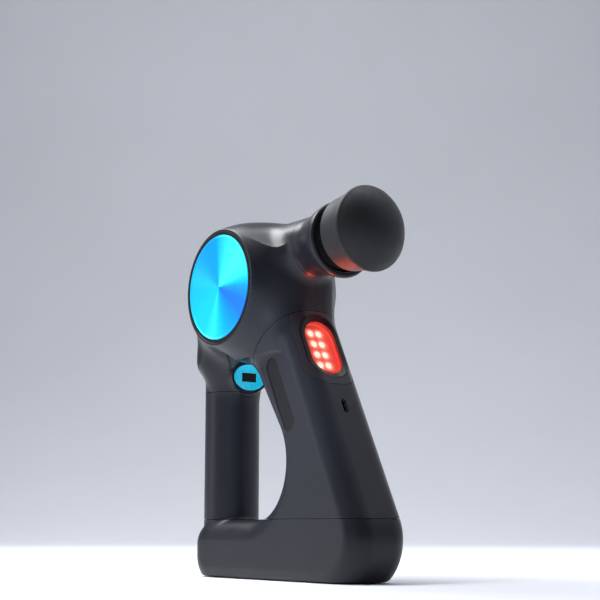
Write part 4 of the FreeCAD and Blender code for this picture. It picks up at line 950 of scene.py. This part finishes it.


# light emitters: small domed lenses
def domes():
    verts, faces = [], []
    for x in (-2.9, 2.9):
        for l in (49.6, 56.9, 64.2, 71.5):
            base = len(verts)
            prof = [(29.3, 1.4), (29.75, 1.4), (29.8, 1.3), (30.1, 1.2), (30.4, 0.95), (30.62, 0.55), (30.7, 0.0)]
            seg = 20
            rings = []
            verts.append((x, 29.3, l))
            rings.append([base])
            for n, r in prof[:-1]:
                rg = []
                for k in range(seg):
                    t = 2 * math.pi * k / seg
                    rg.append(len(verts))
                    verts.append((x + r * math.cos(t), n, l + r * math.sin(t)))
                rings.append(rg)
            rings.append([len(verts)])
            verts.append((x, 30.7, l))
            for a, b in zip(rings, rings[1:]):
                for k in range(seg):
                    k2 = (k + 1) % seg
                    if len(a) == 1:
                        faces.append((a[0], b[k], b[k2]))
                    elif len(b) == 1:
                        faces.append((a[k2], a[k], b[0]))
                    else:
                        faces.append((a[k2], a[k], b[k], b[k2]))
    out = []
    for x, n, l in verts:
        out.append(tuple(row((x, NVY * n + LVY * l, NVZ * n + LVZ * l))))
    me = bpy.data.meshes.new("light_emitter_domes")
    me.from_pydata(out, [], faces)
    me.validate()
    me.shade_smooth()
    ob = bpy.data.objects.new("light_emitter_domes", me)
    bpy.context.scene.collection.objects.link(ob)
    return ob


leds = domes()
paint(leds, M["emitter"])
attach(leds, "housing")
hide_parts("light_emitters")

for nm, w in (("sensor_dish", 0.0007), ("sensor_window", 0.0002), ("control_panel", 0.0003), ("display_glass", 0.0002),
              ("side_inserts", 0.00012), ("foot_pad", 0.0005), ("charge_socket", 0.0001)):
    bevel(N[nm], w)

# ------------------------------------------------------------------ stage, lights, camera
sc = bpy.context.scene


def cyc():
    """pale floor that curves up into the backdrop"""
    prof = []
    for k in range(2):
        prof.append((-2.6 + 4.0 * k, 0.0))
    for k in range(1, 17):
        t = k / 16 * math.pi / 2
        prof.append((1.4 + 1.2 * math.sin(t), 1.2 * (1 - math.cos(t))))
    prof.append((2.6, 4.5))
    verts, faces = [], []
    for y, z in prof:
        verts += [(-5.0, y, z), (5.0, y, z)]
    for i in range(len(prof) - 1):
        faces.append((2 * i, 2 * i + 1, 2 * i + 3, 2 * i + 2))
    me = bpy.data.meshes.new("studio_floor")
    rot = Matrix.Rotation(math.radians(-36.5), 4, "Z")
    me.from_pydata([tuple(rot @ Vector(v)) for v in verts], [], faces)
    me.shade_smooth()
    ob = bpy.data.objects.new("studio_floor", me)
    sc.collection.objects.link(ob)
    m = Mat("studio_floor")
    m.link(m.ramp(m.noise(3, 3), [(0.3, lin(226, 227, 231)), (0.7, lin(229, 230, 234))]), m.b.inputs["Base Color"])
    m.set(Roughness=0.85)
    m.bump(m.noise(400, 2), 0.05, 0.0002)
    paint(ob, m.m)
    return ob


cyc()

world = bpy.data.worlds.new("studio")
sc.world = world
world.use_nodes = True
wt = world.node_tree
bg = wt.nodes["Background"]
# soft box round the set: bright above and behind, dim on the near side
wc = wt.nodes.new("ShaderNodeTexCoord")
wd = wt.nodes.new("ShaderNodeVectorMath")
wd.operation = "DOT_PRODUCT"
wd.inputs[1].default_value = (0.55, 0.40, 0.73)
wt.links.new(wc.outputs["Generated"], wd.inputs[0])
wr = wt.nodes.new("ShaderNodeMapRange")
wr.interpolation_type = "SMOOTHSTEP"
wr.inputs["From Min"].default_value = -0.15
wr.inputs["From Max"].default_value = 0.95
wr.inputs["To Min"].default_value = 0.07
wr.inputs["To Max"].default_value = 1.15
wt.links.new(wd.outputs["Value"], wr.inputs["Value"])
bg.inputs["Color"].default_value = (0.84, 0.89, 1.0, 1)
wt.links.new(wr.outputs["Result"], bg.inputs["Strength"])


def area(name, loc, aim, size, power, col=(1, 1, 1), size_y=None):
    d = bpy.data.lights.new(name, "AREA")
    d.energy = power
    d.color = col
    d.shape = "RECTANGLE"
    d.size = size
    d.size_y = size_y or size
    o = bpy.data.objects.new(name, d)
    sc.collection.objects.link(o)
    o.location = loc
    o.rotation_mode = "QUATERNION"
    o.rotation_quaternion = (Vector(aim) - Vector(loc)).to_track_quat("-Z", "Y")
    return o


mid = Vector((0, -0.01, 0.15))
area("backdrop_wash", (0.25, 0.35, 1.5), (1.1, 1.5, 0.55), 1.2, 17.0, (0.95, 0.97, 1.0), 1.2)
area("key_top", (-0.30, 0.55, 1.05), mid, 0.9, 16.0, (0.96, 0.97, 1.0), 0.6)
area("back_left", (-1.0, 0.75, 0.35), mid, 0.5, 2.4, (0.93, 0.96, 1.0), 0.9)
area("back_right", (0.95, 0.25, 0.55), mid, 0.35, 0.8, (1.0, 0.98, 0.96), 0.9)
area("fill_front", (-1.3, -0.7, 0.4), mid, 1.0, 0.7, (0.95, 0.97, 1.0), 1.0)
fill = area("sensor_fill", row((-112, -82, -72)), row((0, 20.0, -51.0)), 0.03, 0.32, (0.92, 0.98, 1.0), 0.03)
fill.visible_camera = False
fill.visible_glossy = False
area("red_spill", row((0, NVY * 38.0 + LVY * 55.0, NVZ * 38.0 + LVZ * 55.0)), row((0, -95.0, 12.0)), 0.012, 0.034, (1.0, 0.12, 0.05), 0.02)

cam = bpy.data.objects.new("camera", bpy.data.cameras.new("camera"))
sc.collection.objects.link(cam)
sc.camera = cam
CR = np.array([0.8033, -0.5956, 0.0])
CU = np.array([-0.1014, -0.1368, 0.9854])
CB = np.array([-0.5869, -0.7915, -0.1703])
D, OX, OY, F = 811.2, 20.29, -4.106, 1300.0
eye = OX * CR + OY * CU + D * CB
m4 = Matrix.Identity(4)
for i in range(3):
    m4[i][0], m4[i][1], m4[i][2] = CR[i], CU[i], CB[i]
cam.rotation_mode = "QUATERNION"
cam.rotation_quaternion = m4.to_3x3().normalized().to_quaternion()
cam.location = Vector(row(eye))
cam.data.sensor_width = 36.0
cam.data.lens = F / 600.0 * 36.0
cam.data.clip_start, cam.data.clip_end = 0.05, 30.0
cam.data.dof.use_dof = False
sc.view_settings.view_transform = "Standard"
sc.view_settings.look = "None"
bpy.context.view_layer.update()
